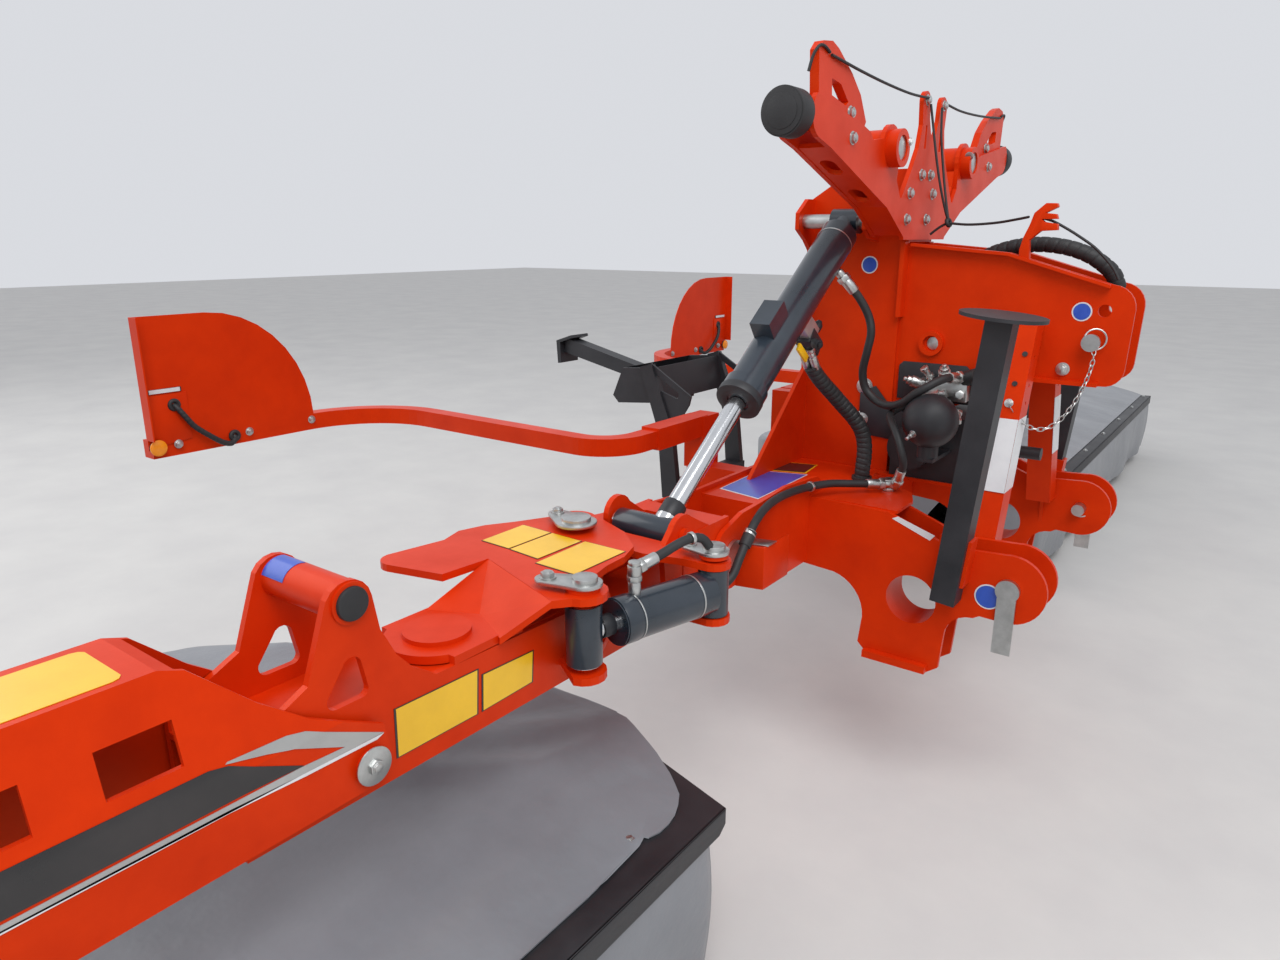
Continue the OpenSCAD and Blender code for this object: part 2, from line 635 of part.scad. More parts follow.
module boom() {
    color(orange) {
        difference() {
            union() {
                plate_xy(top_plate_z - 15, 15) top_plate_outline();
                // Lower fork plate under the bracket
                plate_xy(32, 15) polygon(concat(
                    arc(swing, 66, 120, 320, 8),
                    [[-590, 1250]],
                    arc(rod_pin, 42, -100, 80, 8),
                    [[-575, 1440], [-840, 1400]]));
            }
            bar_z(20, 220, swing[0], swing[1], swing_pin_r + fit);
            bar_z(20, 220, rod_pin[0], rod_pin[1], 16 + fit);
        }
        // Facets that lead from the fold line down to the round plate
        facet([fold_a[0], fold_a[1], sheet_top - 1], [fold_b[0], fold_b[1], sheet_top - 1],
            [-660, 1560, low_z - 1], 13);
        facet([fold_b[0], fold_b[1], sheet_top - 1], [-562, 1605, low_z - 1],
            [-660, 1560, low_z - 1], 13);
        facet([fold_a[0], fold_a[1], sheet_top - 1], [-660, 1560, low_z - 1],
            [-757, 1605, low_z - 1], 13);
        bar_z(boom_z1 - 1, low_z, -boom_x, disc_plate_y, 92);
        // Raised lip of the round plate
        bar_z(low_z - 1, low_z + 9, -boom_x, disc_plate_y, 60);
        box(boom_x0, boom_x1, 1540, 1700, boom_z1 - 1, low_z);
        boom_cheek(boom_x0);
        boom_cheek(boom_x1 - plate_t);
        box(boom_x0 + plate_t, boom_x1 - plate_t, 1290, boom_y1, boom_z1 - 14,
            boom_z1 - 4);
        box(boom_x0 + plate_t, boom_x1 - plate_t, 1110, boom_y1, boom_z0 + 12,
            boom_z0 + 22);
        box(boom_x0 + plate_t, boom_x1 - plate_t, 1296, 1306, boom_z0 + 20,
            top_plate_z - 14);
        difference() {
            bar_x(boom_x0 - 4, boom_x1 + 4, tube_y, tube_z, tube_r);
            bar_x(boom_x0 - 5, boom_x1 + 5, tube_y, tube_z, 20);
        }
    }
    color(steel) {
        bar_z(30, top_plate_z + 3, swing[0], swing[1], swing_pin_r);
        bar_z(top_plate_z, top_plate_z + 12, swing[0], swing[1], 48);
        bar_z(26, top_plate_z + 3, rod_pin[0], rod_pin[1], 16);
        bar_z(top_plate_z, top_plate_z + 9, rod_pin[0], rod_pin[1], 32);
    }
}

// Outer arm: a bent sheet with sloped shoulders, over the end of the boom
arm_bolt = [1890, 62];
arm_x0 = -boom_x - arm_w / 2;
arm_x1 = -boom_x + arm_w / 2;
arm_z0 = 22;
shoulder_z = 150;
arm_roof = 75;
module arm_profile(g) {
    polygon([[arm_x0 + g, arm_z0 - 1], [arm_x0 + g, shoulder_z],
        [-boom_x - arm_roof + g * 0.6, arm_top - g],
        [-boom_x + arm_roof - g * 0.6, arm_top - g],
        [arm_x1 - g, shoulder_z], [arm_x1 - g, arm_z0 - 1]]);
}
module outer_arm() {
    color(orange) difference() {
        intersection() {
            translate([0, arm_y1, 0]) rotate([90, 0, 0]) linear_extrude(arm_y1 - arm_y0)
                difference() {
                    arm_profile(0);
                    arm_profile(sheet_t);
                }
            plate_yz(arm_x0 - 5, arm_w + 10) polygon(concat(
                arc(arm_bolt, 40, 160, 270, 6),
                [[arm_y1 - 260, arm_z0 - 6], [arm_y1, -20], [arm_y1, arm_top - 60],
                [arm_y1 - 350, arm_top + 1], [2150, arm_top + 1], [2115, 300], [2038, 225],
                [1975, 176], [1860, 115]]));
        }
        // Windows in the sloped shoulders
        for (i = [0:3]) for (s = [-1, 1])
            translate([-boom_x + s * 95, 2190 + i * 165, 150]) box(-70, 70, -45, 45,
                40, 100);
        bar_x(arm_x0 - 1, arm_x1 + 1, unit_y, float_z, 22 + fit);
        bar_x(arm_x0 - 1, arm_x1 + 1, arm_bolt[0], arm_bolt[1], 14 + fit);
    }
    color(steel) {
        bar_x(arm_x0 - 8, arm_x1 + 8, arm_bolt[0], arm_bolt[1], 14);
        for (x0 = [arm_x0 - 8, arm_x1]) bar_x(x0, x0 + 8, arm_bolt[0], arm_bolt[1], 24);
    }
}

// Mower unit: heights are measured from the ground
function above(h) = h - hitch_h;
unit_y0 = unit_y - canvas_len / 2;
unit_y1 = unit_y + canvas_len / 2;
canvas_rear = canvas_front + canvas_depth;
disc_y0 = unit_y - (disc_count - 1) / 2 * disc_pitch;
bar_half = (disc_count - 1) / 2 * disc_pitch + 227;
frame_half = bar_half + plate_t + 6;
module unit_frame() {
    color(dark) {
        // Carrying beam
        difference() {
            box(-1080, -990, unit_y - frame_half, unit_y + frame_half, above(350),
                above(440));
            box(-1074, -996, unit_y - frame_half - 1, unit_y + frame_half + 1,
                above(356), above(434));
        }
        // Hanger cheeks up to the float hinge
        for (x0 = [arm_x0 + sheet_t + 6, arm_x1 - sheet_t - 18]) difference() {
            plate_yz(x0, plate_t) polygon(concat(
                [[unit_y - 130, above(430)], [unit_y + 130, above(430)]],
                arc([unit_y, float_z], 50, 20, 160, 8)));
            bar_x(x0 - 1, x0 + plate_t + 1, unit_y, float_z, 22 + fit);
        }
        box(-1000, arm_x1 - sheet_t - 6, unit_y - 130, unit_y + 130, above(422),
            above(440));
        // Front angle and the cross members of the canvas frame
        box(-canvas_front - 56, -canvas_front - canvas_t - fit, unit_y0 + 96,
            unit_y1 - 2 * canvas_t - fit, above(392), above(400));
        for (y = [unit_y0 + 96, unit_y0 + 900, unit_y1 - 940, unit_y1 - 96])
            box(-1000, -canvas_front - 50, y, y + 40, above(400), above(412));
        // End plates down to the cutterbar
        for (y = [unit_y - bar_half - plate_t, unit_y + bar_half]) plate_xz(y, plate_t)
            polygon([
            [-1075, above(350)], [-960, above(60)], [-872, above(60)],
            [-880, above(120)], [-995, above(356)]]);
    }
    color(steel) bar_x(arm_x0 - 6, arm_x1 + 6, unit_y, float_z, 22);
}
bar_z0 = 44;
bar_z1 = 100;
module cutterbar() {
    color(dark) {
        difference() {
            union() {
                box(-960, -disc_x, unit_y - bar_half + fit, unit_y + bar_half - fit,
                    above(bar_z0), above(bar_z1));
                for (i = [0:disc_count - 1]) bar_z(above(bar_z0), above(bar_z1), -disc_x,
                    disc_y0 + i * disc_pitch, 150);
            }
            for (i = [0:disc_count - 1]) bar_z(above(bar_z1 - 20), above(bar_z1) + 1,
                -disc_x, disc_y0 + i * disc_pitch, 24 + fit);
        }
    }
    color(grey) for (i = [0:disc_count - 1]) {
        y = disc_y0 + i * disc_pitch;
        plate_xz(y - 110, 220) polygon([[-940, above(bar_z0)], [-930, above(20)],
            [-880, above(0)], [-640, above(0)], [-560, above(40)], [-555, above(56)],
            [-600, above(bar_z0)]]);
    }
}
// An oval disc with two knives; a is its turn at rest
module disc(i) {
    y = disc_y0 + (i - 1) * disc_pitch;
    a = i % 2 == 1 ? 0 : 90;
    translate([-disc_x, y, above(0)]) rotate([0, 0, a]) color(dark) {
        translate([0, 0, bar_z1 - 18]) cylinder(r = 24, h = 30);
        translate([0, 0, bar_z1 + 8]) linear_extrude(10) intersection() {
            circle(r = 205);
            square([420, 280], center = true);
        }
        translate([0, 0, bar_z1 + 17]) cylinder(r1 = 120, r2 = 70, h = 40);
        for (s = [0, 180]) rotate([0, 0, s]) translate([170, -22, bar_z1 + 4])
            cube([tip_r - 171, 44, 5]);
    }
}
// Canvas over the unit, open below: its section across the unit
function canvas_line(g) = [
    [-canvas_front - g, above(60)], [-canvas_front - g, above(412) - g],
    [-canvas_front - 250, above(470) - g], [-900, above(505) - g],
    [-1500, above(495) - g], [-canvas_rear + 90 + g, above(440) - g],
    [-canvas_rear + g, above(60)]];
// The bent inner edge of the canvas, as (x, distance from the unit's inner end)
inner_edge = [[-271, 78], [-589, -39], [-700, -60], [-920, -15], [-1100, 12], [-1460, 180],
    [-1800, 300], [-1890, 400]];
module canvas_plan(g) plate_xy(above(40), 500) polygon(concat(
    [[-240, unit_y1 - g], [-240, unit_y0 + 67 + g]],
    [for (p = inner_edge) [p[0], unit_y0 + p[1] + g]], [[-1890, unit_y1 - g]]));
module canvas() {
    color(grey) difference() {
        intersection() {
            plate_xz(unit_y0 - 100, canvas_len + 100) polygon(canvas_line(0));
            canvas_plan(0);
        }
        intersection() {
            plate_xz(unit_y0 - 100, canvas_len + 100) polygon(concat(
                [[-canvas_front - canvas_t, above(50)]], canvas_line(canvas_t),
                [[-canvas_rear + canvas_t, above(50)]]));
            canvas_plan(2 * canvas_t);
        }
        // Opening for the hanger
        box(arm_x0 - 10, arm_x1 + 10, unit_y - 175, unit_y + 175, above(420), above(600));
    }
    // Rail along the front edge, and its slanted return along the inner edge
    color(dark) {
        plate_xz(unit_y0 + 78, canvas_len - 78) polygon([
            [-canvas_front - 30, above(420)], [-canvas_front + 46, above(420)],
            [-canvas_front + 46, above(368)], [-canvas_front + 40, above(368)],
            [-canvas_front + 40, above(414)], [-canvas_front - 30, above(412)]]);
        plate_xy(above(368), 52) polygon([[-canvas_front + 46, unit_y0 + 78],
            [-589, unit_y0 - 45], [-589, unit_y0 - 35], [-canvas_front + 46, unit_y0 + 88]]);
    }
}

// Lift cylinder between the mast and the fold bracket
lift_top = [lift_top_y, lift_top_z];
lift_eye = [lift_eye_y, lift_eye_z];
lift_d = lift_eye - lift_top;
lift_len = norm(lift_d);
lift_angle = atan2(lift_d[1], lift_d[0]);
barrel_len = 720;
module along_lift() translate([-lift_x, lift_top[0], lift_top[1]])
    rotate([lift_angle - 90, 0, 0]) children();
module lift_barrel() color(blue_black) along_lift() {
    difference() {
        union() {
            rotate([0, 90, 0]) cylinder(r = 34, h = 80, center = true);
            cylinder(r = 30, h = 70);
            translate([0, 0, 60]) cylinder(r = lift_r, h = barrel_len - 60);
            translate([0, 0, barrel_len - 50]) cylinder(r = lift_r + 6, h = 50);
            // Valve block at the port on the underside
            translate([-28, -lift_r - 40, 450]) cube([56, 60, 90]);
        }
        rotate([0, 90, 0]) cylinder(r = 20 + fit, h = 90, center = true);
        translate([0, 0, 90]) cylinder(r = 22.5 + fit, h = barrel_len);
    }
}
module lift_rod() color(steel) along_lift() {
    translate([0, 0, 390]) cylinder(r = 22.5, h = lift_len - 410);
    translate([0, 0, lift_len - 75]) cylinder(r = 27, h = 60);
    translate([eye_x0 + lift_x, 0, lift_len]) rotate([0, 90, 0])
        cylinder(r = eye_r, h = eye_x1 - eye_x0);
}

// Break-away cylinder between the bracket and the boom's front lug
safety_z = (brk_z0 + brk_z1) / 2;
safety_d = rod_pin - barrel_pin;
safety_len = norm(safety_d);
safety_barrel_len = 255;
module along_safety() translate([barrel_pin[0], barrel_pin[1], safety_z])
    rotate([0, 0, atan2(safety_d[1], safety_d[0])]) rotate([0, 90, 0]) children();
module safety_barrel() color(blue_black) along_safety() {
    difference() {
        union() {
            rotate([0, 90, 0]) cylinder(r = 32, h = 100, center = true);
            translate([0, 0, 20]) cylinder(r = safety_r, h = safety_barrel_len - 20);
        }
        rotate([0, 90, 0]) cylinder(r = 16 + fit, h = 130, center = true);
        translate([0, 0, 60]) cylinder(r = 18 + fit, h = safety_barrel_len);
    }
}
module safety_rod() color(steel) along_safety() {
    difference() {
        union() {
            translate([0, 0, 100]) cylinder(r = 18, h = safety_len - 120);
            translate([0, 0, safety_len]) rotate([0, 90, 0])
                cylinder(r = 32, h = 120, center = true);
        }
        // The eye has play, as the rod turns a little differently from its pin
        translate([0, 0, safety_len]) rotate([0, 90, 0])
            cylinder(r = 16 + 4 * fit, h = 130, center = true);
    }
}

place() hitch_frame();
place() top_box();
place() mast();
place() yoke();
place() hitch_pins();
place() frame_pins();
place() gearbox();
place() accumulator();
place() rear_support();
for (k = [0, 1]) {
    side = side_names[k];
    on_side(k) guard();
    on_side(k) stand_leg();
    on_side(k) fold_bracket();
    on_side(k) boom();
    on_side(k) outer_arm();
    on_side(k) unit_frame();
    on_side(k) cutterbar();
    on_side(k) canvas();
    on_side(k) lift_barrel();
    on_side(k) lift_rod();
    on_side(k) safety_barrel();
    on_side(k) safety_rod();
    for (i = [1:disc_count])
        on_side(k) disc(i);
}
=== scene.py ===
# %% [markdown]
# # Rear disc mower with two folding wings
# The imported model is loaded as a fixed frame, in metres, and the looks are built round
# it. X points to the tractor, Y to the left and Z up, so the near side of the photograph
# is the right side, at minus Y.

# %% Load the frame
from math import atan2, cos, exp, hypot, pi, radians, sin, tau

import bmesh
import bpy
from mathutils import Matrix, Vector, noise


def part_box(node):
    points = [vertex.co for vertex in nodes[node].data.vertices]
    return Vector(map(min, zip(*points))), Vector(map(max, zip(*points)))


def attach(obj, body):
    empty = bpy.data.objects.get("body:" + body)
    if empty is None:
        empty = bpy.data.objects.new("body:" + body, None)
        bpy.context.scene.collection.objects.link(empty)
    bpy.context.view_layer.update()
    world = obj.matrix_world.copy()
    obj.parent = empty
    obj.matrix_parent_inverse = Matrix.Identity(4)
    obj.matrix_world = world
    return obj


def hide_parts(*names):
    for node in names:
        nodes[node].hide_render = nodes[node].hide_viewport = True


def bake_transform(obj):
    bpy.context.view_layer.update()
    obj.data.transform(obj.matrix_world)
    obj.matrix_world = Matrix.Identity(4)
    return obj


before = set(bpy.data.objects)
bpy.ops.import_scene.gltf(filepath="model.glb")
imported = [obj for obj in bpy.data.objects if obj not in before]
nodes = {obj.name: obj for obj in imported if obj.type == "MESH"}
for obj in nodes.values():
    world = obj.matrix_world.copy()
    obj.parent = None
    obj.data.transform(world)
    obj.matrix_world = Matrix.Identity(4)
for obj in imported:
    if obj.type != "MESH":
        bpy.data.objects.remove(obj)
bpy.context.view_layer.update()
print("nodes loaded:", len(nodes))

# %% [markdown]
# Every measure below is taken from the hitch: x forwards from the lower link pins, y
# outwards from the middle, z up from the pins. This helper turns such a place into the
# model's own frame, and the side, 1 for left and -1 for right, mirrors it.

# %% A place measured from the hitch
box_overhang, hitch_z = 0.13, 0.68
hitch_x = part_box("top_box")[1].x - box_overhang
wings = [("right", -1), ("left", 1)]
UP, FRONT = (0, 0, 1), (1, 0, 0)


def spot(x, y, z, side=1):
    """The point at x, y, z from the hitch, y counted outwards on that side."""
    return Vector((x + hitch_x, side * y, z + hitch_z))


def level(side, axis, value, pairs):
    """Points in the plane across an axis, from pairs of the other two measures."""
    k = "xyz".index(axis)
    return [spot(*pair[:k], value, *pair[k:], side) for pair in pairs]


# %% [markdown]
# The camera stands where the photographer stood: at eye height to the right and in
# front of the machine, with a wide lens.

# %% Camera at the photograph's place
cam_data = bpy.data.cameras.new("camera")
focal_pixels, photo_pixels, sensor_width = 874, 1280, 36
cam_data.lens = focal_pixels / photo_pixels * sensor_width
cam = bpy.data.objects.new("camera", cam_data)
scene = bpy.context.scene
scene.collection.objects.link(cam)
cam.location = spot(0.456, -2.567, 0.821)
looks_down, turned_left = radians(15.58), radians(36.66)
cam.rotation_euler = (pi / 2 - looks_down, 0, turned_left)
scene.camera = cam

# %% [markdown]
# Paint on a farm machine is never one flat colour: a slow noise drifts its tone and its
# gloss, and a fine one gives its skin small waves. One helper writes that for each paint
# and metal.


# %% A helper for shader nodes
def add_node(tree, kind, **inputs):
    """A node of that kind, with the inputs set by name."""
    made = tree.nodes.new(kind)
    for name, value in inputs.items():
        made.inputs[name.replace("_", " ")].default_value = value
    return made


# %% Painted and bare metal
def metal_finish(name, colour, second, scale=9, metallic=0.0, rough=(0.3, 0.5), bump=0.05, fine=260,
        coat=0.0, gleam=0.5, tint=(1, 1, 1)):
    """A finish whose colour drifts to a second one, with a varied roughness."""
    finish = bpy.data.materials.new(name)
    finish.use_nodes = True
    tree = finish.node_tree
    shader = tree.nodes["Principled BSDF"]
    for key, value in (("Metallic", metallic), ("Coat Weight", coat), ("Coat Roughness", 0.15),
            ("Specular IOR Level", gleam), ("Specular Tint", (*tint, 1))):
        shader.inputs[key].default_value = value
    place = tree.nodes.new("ShaderNodeTexCoord")
    clouds = add_node(tree, "ShaderNodeTexNoise", Scale=scale, Detail=6.0, Roughness=0.6)
    grain = add_node(tree, "ShaderNodeTexNoise", Scale=fine, Detail=3.0)
    tones = tree.nodes.new("ShaderNodeValToRGB")
    for stop, share, tone in zip(tones.color_ramp.elements, (0.35, 0.75), (colour, second)):
        stop.position, stop.color = share, (*tone, 1)
    gloss = tree.nodes.new("ShaderNodeMapRange")
    gloss.inputs["To Min"].default_value = rough[0]
    gloss.inputs["To Max"].default_value = rough[1]
    skin = add_node(tree, "ShaderNodeBump", Strength=bump, Distance=0.002)
    link = tree.links.new
    link(place.outputs["Object"], clouds.inputs["Vector"])
    link(place.outputs["Object"], grain.inputs["Vector"])
    link(clouds.outputs["Fac"], tones.inputs["Fac"])
    link(tones.outputs["Color"], shader.inputs["Base Color"])
    link(clouds.outputs["Fac"], gloss.inputs["Value"])
    link(gloss.outputs["Result"], shader.inputs["Roughness"])
    link(grain.outputs["Fac"], skin.inputs["Height"])
    link(skin.outputs["Normal"], shader.inputs["Normal"])
    return finish


# %% The paints and metals
orange_paint = metal_finish("orange_paint", (0.64, 0.03, 0.002), (0.54, 0.021, 0.0015), gleam=0.4,
    tint=(1, 0.42, 0.15))
dark_paint = metal_finish("dark_paint", (0.012, 0.013, 0.016), (0.026, 0.026, 0.03), rough=(0.35, 0.6))
cylinder_paint = metal_finish("cylinder_paint", (0.012, 0.02, 0.03), (0.026, 0.036, 0.05),
    rough=(0.2, 0.4), coat=0.5)
zinc = metal_finish("zinc", (0.62, 0.63, 0.62), (0.42, 0.43, 0.42), scale=30, metallic=1.0,
    rough=(0.25, 0.45))
rod_chrome = metal_finish("rod_chrome", (0.78, 0.79, 0.8), (0.64, 0.65, 0.67), scale=12, metallic=1.0,
    rough=(0.1, 0.22), bump=0.01)
rubber = metal_finish("rubber", (0.012, 0.012, 0.013), (0.026, 0.026, 0.028), rough=(0.45, 0.7),
    bump=0.15)
print("paints and metals:", 6)

# %% Finish of each node
finish_of = {"gearbox": dark_paint, "accumulator": dark_paint, "rear_support": dark_paint,
    "hitch_pins": zinc, "frame_pins": zinc, "stand_leg": dark_paint, "unit_frame": dark_paint,
    "cutterbar": dark_paint, "canvas": dark_paint, "lift_barrel": cylinder_paint, "lift_rod": rod_chrome,
    "safety_barrel": cylinder_paint, "safety_rod": rod_chrome, }
for name, node in nodes.items():
    stem = name.removesuffix("_right").removesuffix("_left")
    paint = finish_of.get(stem, orange_paint)
    if stem.startswith("disc_"):
        paint = dark_paint
    for slot in node.material_slots:
        slot.material = paint

# %% [markdown]
# New pieces start as a primitive at its own size and place, with nothing else selected,
# and end with their place baked into the mesh, softened edges, a finish, and the body
# that they ride on. These helpers hold those two ends of the work.


# %% Start and finish a piece
def alone(piece):
    """Only this piece is selected and active."""
    bpy.ops.object.select_all(action="DESELECT")
    piece.select_set(True)
    bpy.context.view_layer.objects.active = piece


def edit(piece, change, **options):
    """One change to the mesh of a piece, in edit mode."""
    alone(piece)
    bpy.ops.object.mode_set(mode="EDIT")
    bpy.ops.mesh.select_all(action="SELECT")
    change(**options)
    bpy.ops.object.mode_set(mode="OBJECT")


def outward(piece):
    """All faces point outwards, as after a mirror or a spin."""
    edit(piece, bpy.ops.mesh.normals_make_consistent, inside=False)


def finished(piece, name, finish, body=None, edge=0.0015, angle=35):
    """Bakes the place, bevels the edges, names, smooths, paints and rides."""
    alone(piece)
    bpy.ops.object.transform_apply()
    if edge:
        soft = piece.modifiers.new("edges", "BEVEL")
        soft.width, soft.segments = edge, 2
        bpy.ops.object.modifier_apply(modifier="edges")
    bpy.ops.object.shade_smooth_by_angle(angle=radians(angle))
    piece.name = name
    piece.data.materials.clear()
    piece.data.materials.append(finish)
    if body:
        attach(piece, body)
    return piece


def joined(parts):
    """One object from several, the first one's name and finish kept."""
    bpy.ops.object.select_all(action="DESELECT")
    for part in parts:
        part.select_set(True)
    bpy.context.view_layer.objects.active = parts[0]
    if len(parts) > 1:
        bpy.ops.object.join()
    return parts[0]


# %% Drums, wire rings and plates
def drum(radius, length, middle, turn=(0, 0, 0), corners=28, ends="NGON"):
    """A cylinder, or a prism when it has few corners."""
    bpy.ops.object.select_all(action="DESELECT")
    bpy.ops.mesh.primitive_cylinder_add(vertices=corners, radius=radius, depth=length, location=middle,
        rotation=turn, end_fill_type=ends)
    return bpy.context.object


def wire_ring(radius, wire, middle=(0, 0, 0), turn=(0, 0, 0), around=36, corners=8):
    """A ring of round wire."""
    bpy.ops.object.select_all(action="DESELECT")
    bpy.ops.mesh.primitive_torus_add(major_radius=radius, minor_radius=wire, major_segments=around,
        minor_segments=corners, location=middle, rotation=turn)
    return bpy.context.object


def aimed(axis):
    """The turn that lays a piece's own Z along an axis."""
    return Vector(axis).to_track_quat("Z", "Y")


def plate(corners, push):
    """A flat plate: a filled ring moved to the corners, extruded by the push."""
    bpy.ops.object.select_all(action="DESELECT")
    bpy.ops.mesh.primitive_circle_add(vertices=len(corners), fill_type="NGON")
    made = bpy.context.object
    for vertex, corner in zip(made.data.vertices, corners):
        vertex.co = corner
    edit(made, bpy.ops.mesh.extrude_region_move, TRANSFORM_OT_translate={"value": push})
    outward(made)
    return made


# %% [markdown]
# ## The fabric covers
# Each wing hides its discs under a grey coated fabric, laid over a frame, clipped on a
# black front rail and hanging at its ends. One curved sheet is made: its outline is drawn
# in plan and filled as a smooth patch, and its border is carried round a soft bend and
# down to the hem. Noise and a few ridges give the slack and folds of the real cloth.

# %% Coated fabric
canvas_cloth = metal_finish("canvas_cloth", (0.21, 0.22, 0.24), (0.155, 0.163, 0.18), scale=2.2,
    rough=(0.28, 0.46), bump=0.12, fine=900, coat=0.25)
cloth_tree = canvas_cloth.node_tree
cloth_skin = cloth_tree.nodes["Bump"]
cloth_place = cloth_tree.nodes["Texture Coordinate"]
threads = add_node(cloth_tree, "ShaderNodeTexWave", Scale=160.0, Distortion=0.6)
soft_dents = add_node(cloth_tree, "ShaderNodeTexNoise", Scale=7.0, Detail=4.0)
weave = add_node(cloth_tree, "ShaderNodeBump", Strength=0.08, Distance=0.001)
dents = add_node(cloth_tree, "ShaderNodeBump", Strength=0.35, Distance=0.02)
link = cloth_tree.links.new
link(cloth_place.outputs["Object"], threads.inputs["Vector"])
link(cloth_place.outputs["Object"], soft_dents.inputs["Vector"])
link(threads.outputs["Fac"], weave.inputs["Height"])
link(soft_dents.outputs["Fac"], dents.inputs["Height"])
link(dents.outputs["Normal"], weave.inputs["Normal"])
link(weave.outputs["Normal"], cloth_skin.inputs["Normal"])
print("fabric finish:", canvas_cloth.name)


# %% Points evenly along a line
def along(points, count):
    """That many points, evenly spaced along a line of straight stretches."""
    line = [Vector(p) for p in points]
    steps = [(b - a).length for a, b in zip(line, line[1:])]
    total, out = sum(steps), []
    for i in range(count):
        left = total * i / (count - 1)
        k = 0
        while k < len(steps) - 1 and left > steps[k]:
            left -= steps[k]
            k += 1
        out.append(line[k].lerp(line[k + 1], min(1, left / steps[k])))
    return out


def heading(line, n):
    """The way along a line of points from the one before a point to the one after."""
    return line[min(n + 1, len(line) - 1)] - line[max(n - 1, 0)]


def flow(points, per_metre=90):
    """A smooth curve through the points, sampled evenly."""
    line = [Vector(p) for p in points]
    line = [2 * line[0] - line[1], *line, 2 * line[-1] - line[-2]]
    fine = []
    for a, b, c, d in zip(line, line[1:], line[2:], line[3:]):
        for k in range(12):
            t = k / 12
            bend = (2 * a - 5 * b + 4 * c - d) * t * t
            fine.append(0.5 * (2 * b + (c - a) * t + bend + (3 * b - a - 3 * c + d) * t ** 3))
    fine.append(line[-2])
    total = sum((q - p).length for p, q in zip(fine, fine[1:]))
    return along(fine, max(15, round(total * per_metre)))


def bridge(mesh, rows):
    """Faces between each row of a mesh's points and the next."""
    for row, after in zip(rows, rows[1:]):
        for a, b, c, d in zip(row, row[1:], after[1:], after):
            mesh.faces.new((a, b, c, d))


# %% Shape of the cover: outline and height
# The four sides of its outline, as (x, y) from the hitch, the inner one bent
front_side = [(-0.352, 1.42), (-0.36, 1.446), (-0.379, 1.458), (-0.379, 1.484), (-0.361, 1.495),
    (-0.352, 1.62), (-0.35, 3.0), (-0.35, 4.44)]
inner_side = [(-0.352, 1.42), (-0.352, 1.39), (-0.36, 1.349), (-0.384, 1.307), (-0.426, 1.275),
    (-0.488, 1.243), (-0.596, 1.205), (-0.7, 1.21), (-0.92, 1.255), (-1.1, 1.285), (-1.46, 1.455),
    (-1.76, 1.585), (-1.83, 1.66)]
outer_side = [(-0.35, 4.44), (-0.37, 4.466), (-0.41, 4.47), (-1.78, 4.47), (-1.83, 4.455)]
rear_side = [(-1.83, 1.66), (-1.849, 1.72), (-1.849, 4.4), (-1.83, 4.455)]
top_line = [(-0.2, -0.262), (-0.36, -0.2575), (-0.567, -0.213), (-0.9, -0.178), (-1.5, -0.188),
    (-1.787, -0.24), (-1.95, -0.27)]
ridges = [
    ([(-0.9, 1.74), (-0.775, 1.604), (-0.629, 1.47), (-0.578, 1.33)], 0.014, 0.03),
    ([(-0.5, 1.3), (-0.54, 1.42), (-0.53, 1.56)], 0.008, 0.02),
    ([(-0.62, 1.25), (-0.8, 1.5), (-1.1, 1.8), (-1.3, 2.3)], 0.012, 0.05),
    ([(-0.7, 3.05), (-0.95, 3.4), (-1.4, 3.7)], 0.012, 0.05),
    ([(-0.7, 2.7), (-1.0, 2.3), (-1.5, 2.0)], 0.012, 0.05),
    ([(-0.431, 1.5), (-0.431, 4.42)], 0.0025, 0.007),
    ([(-0.462, 1.45), (-0.462, 4.42)], 0.0025, 0.007)]


def line_gap(x, y, line):
    """The distance from a point to a line of straight stretches, in plan."""
    best = 9.0
    for (ax, ay), (bx, by) in zip(line, line[1:]):
        dx, dy = bx - ax, by - ay
        t = max(0, min(1, ((x - ax) * dx + (y - ay) * dy) / (dx * dx + dy * dy)))
        best = min(best, hypot(x - ax - t * dx, y - ay - t * dy))
    return best


def cover_height(x, y):
    """The height of the cover at a place, with its slack and its ridges."""
    for (xa, za), (xb, zb) in zip(top_line, top_line[1:]):
        if x >= xb:
            z = za + (zb - za) * (xa - x) / (xa - xb)
            break
    loose = min(1, max(0, (-0.37 - x) / 0.15))
    z += loose * 0.012 * noise.noise(Vector((x * 2.5, y * 2.5, 3.1)))
    z += loose * 0.004 * noise.noise(Vector((x * 9, y * 7, 7.7)))
    for line, height, width in ridges:
        z += height * exp(-(line_gap(x, y, line) / width) ** 2)
    return z


print("cover outline points:", len(front_side + inner_side + outer_side + rear_side))


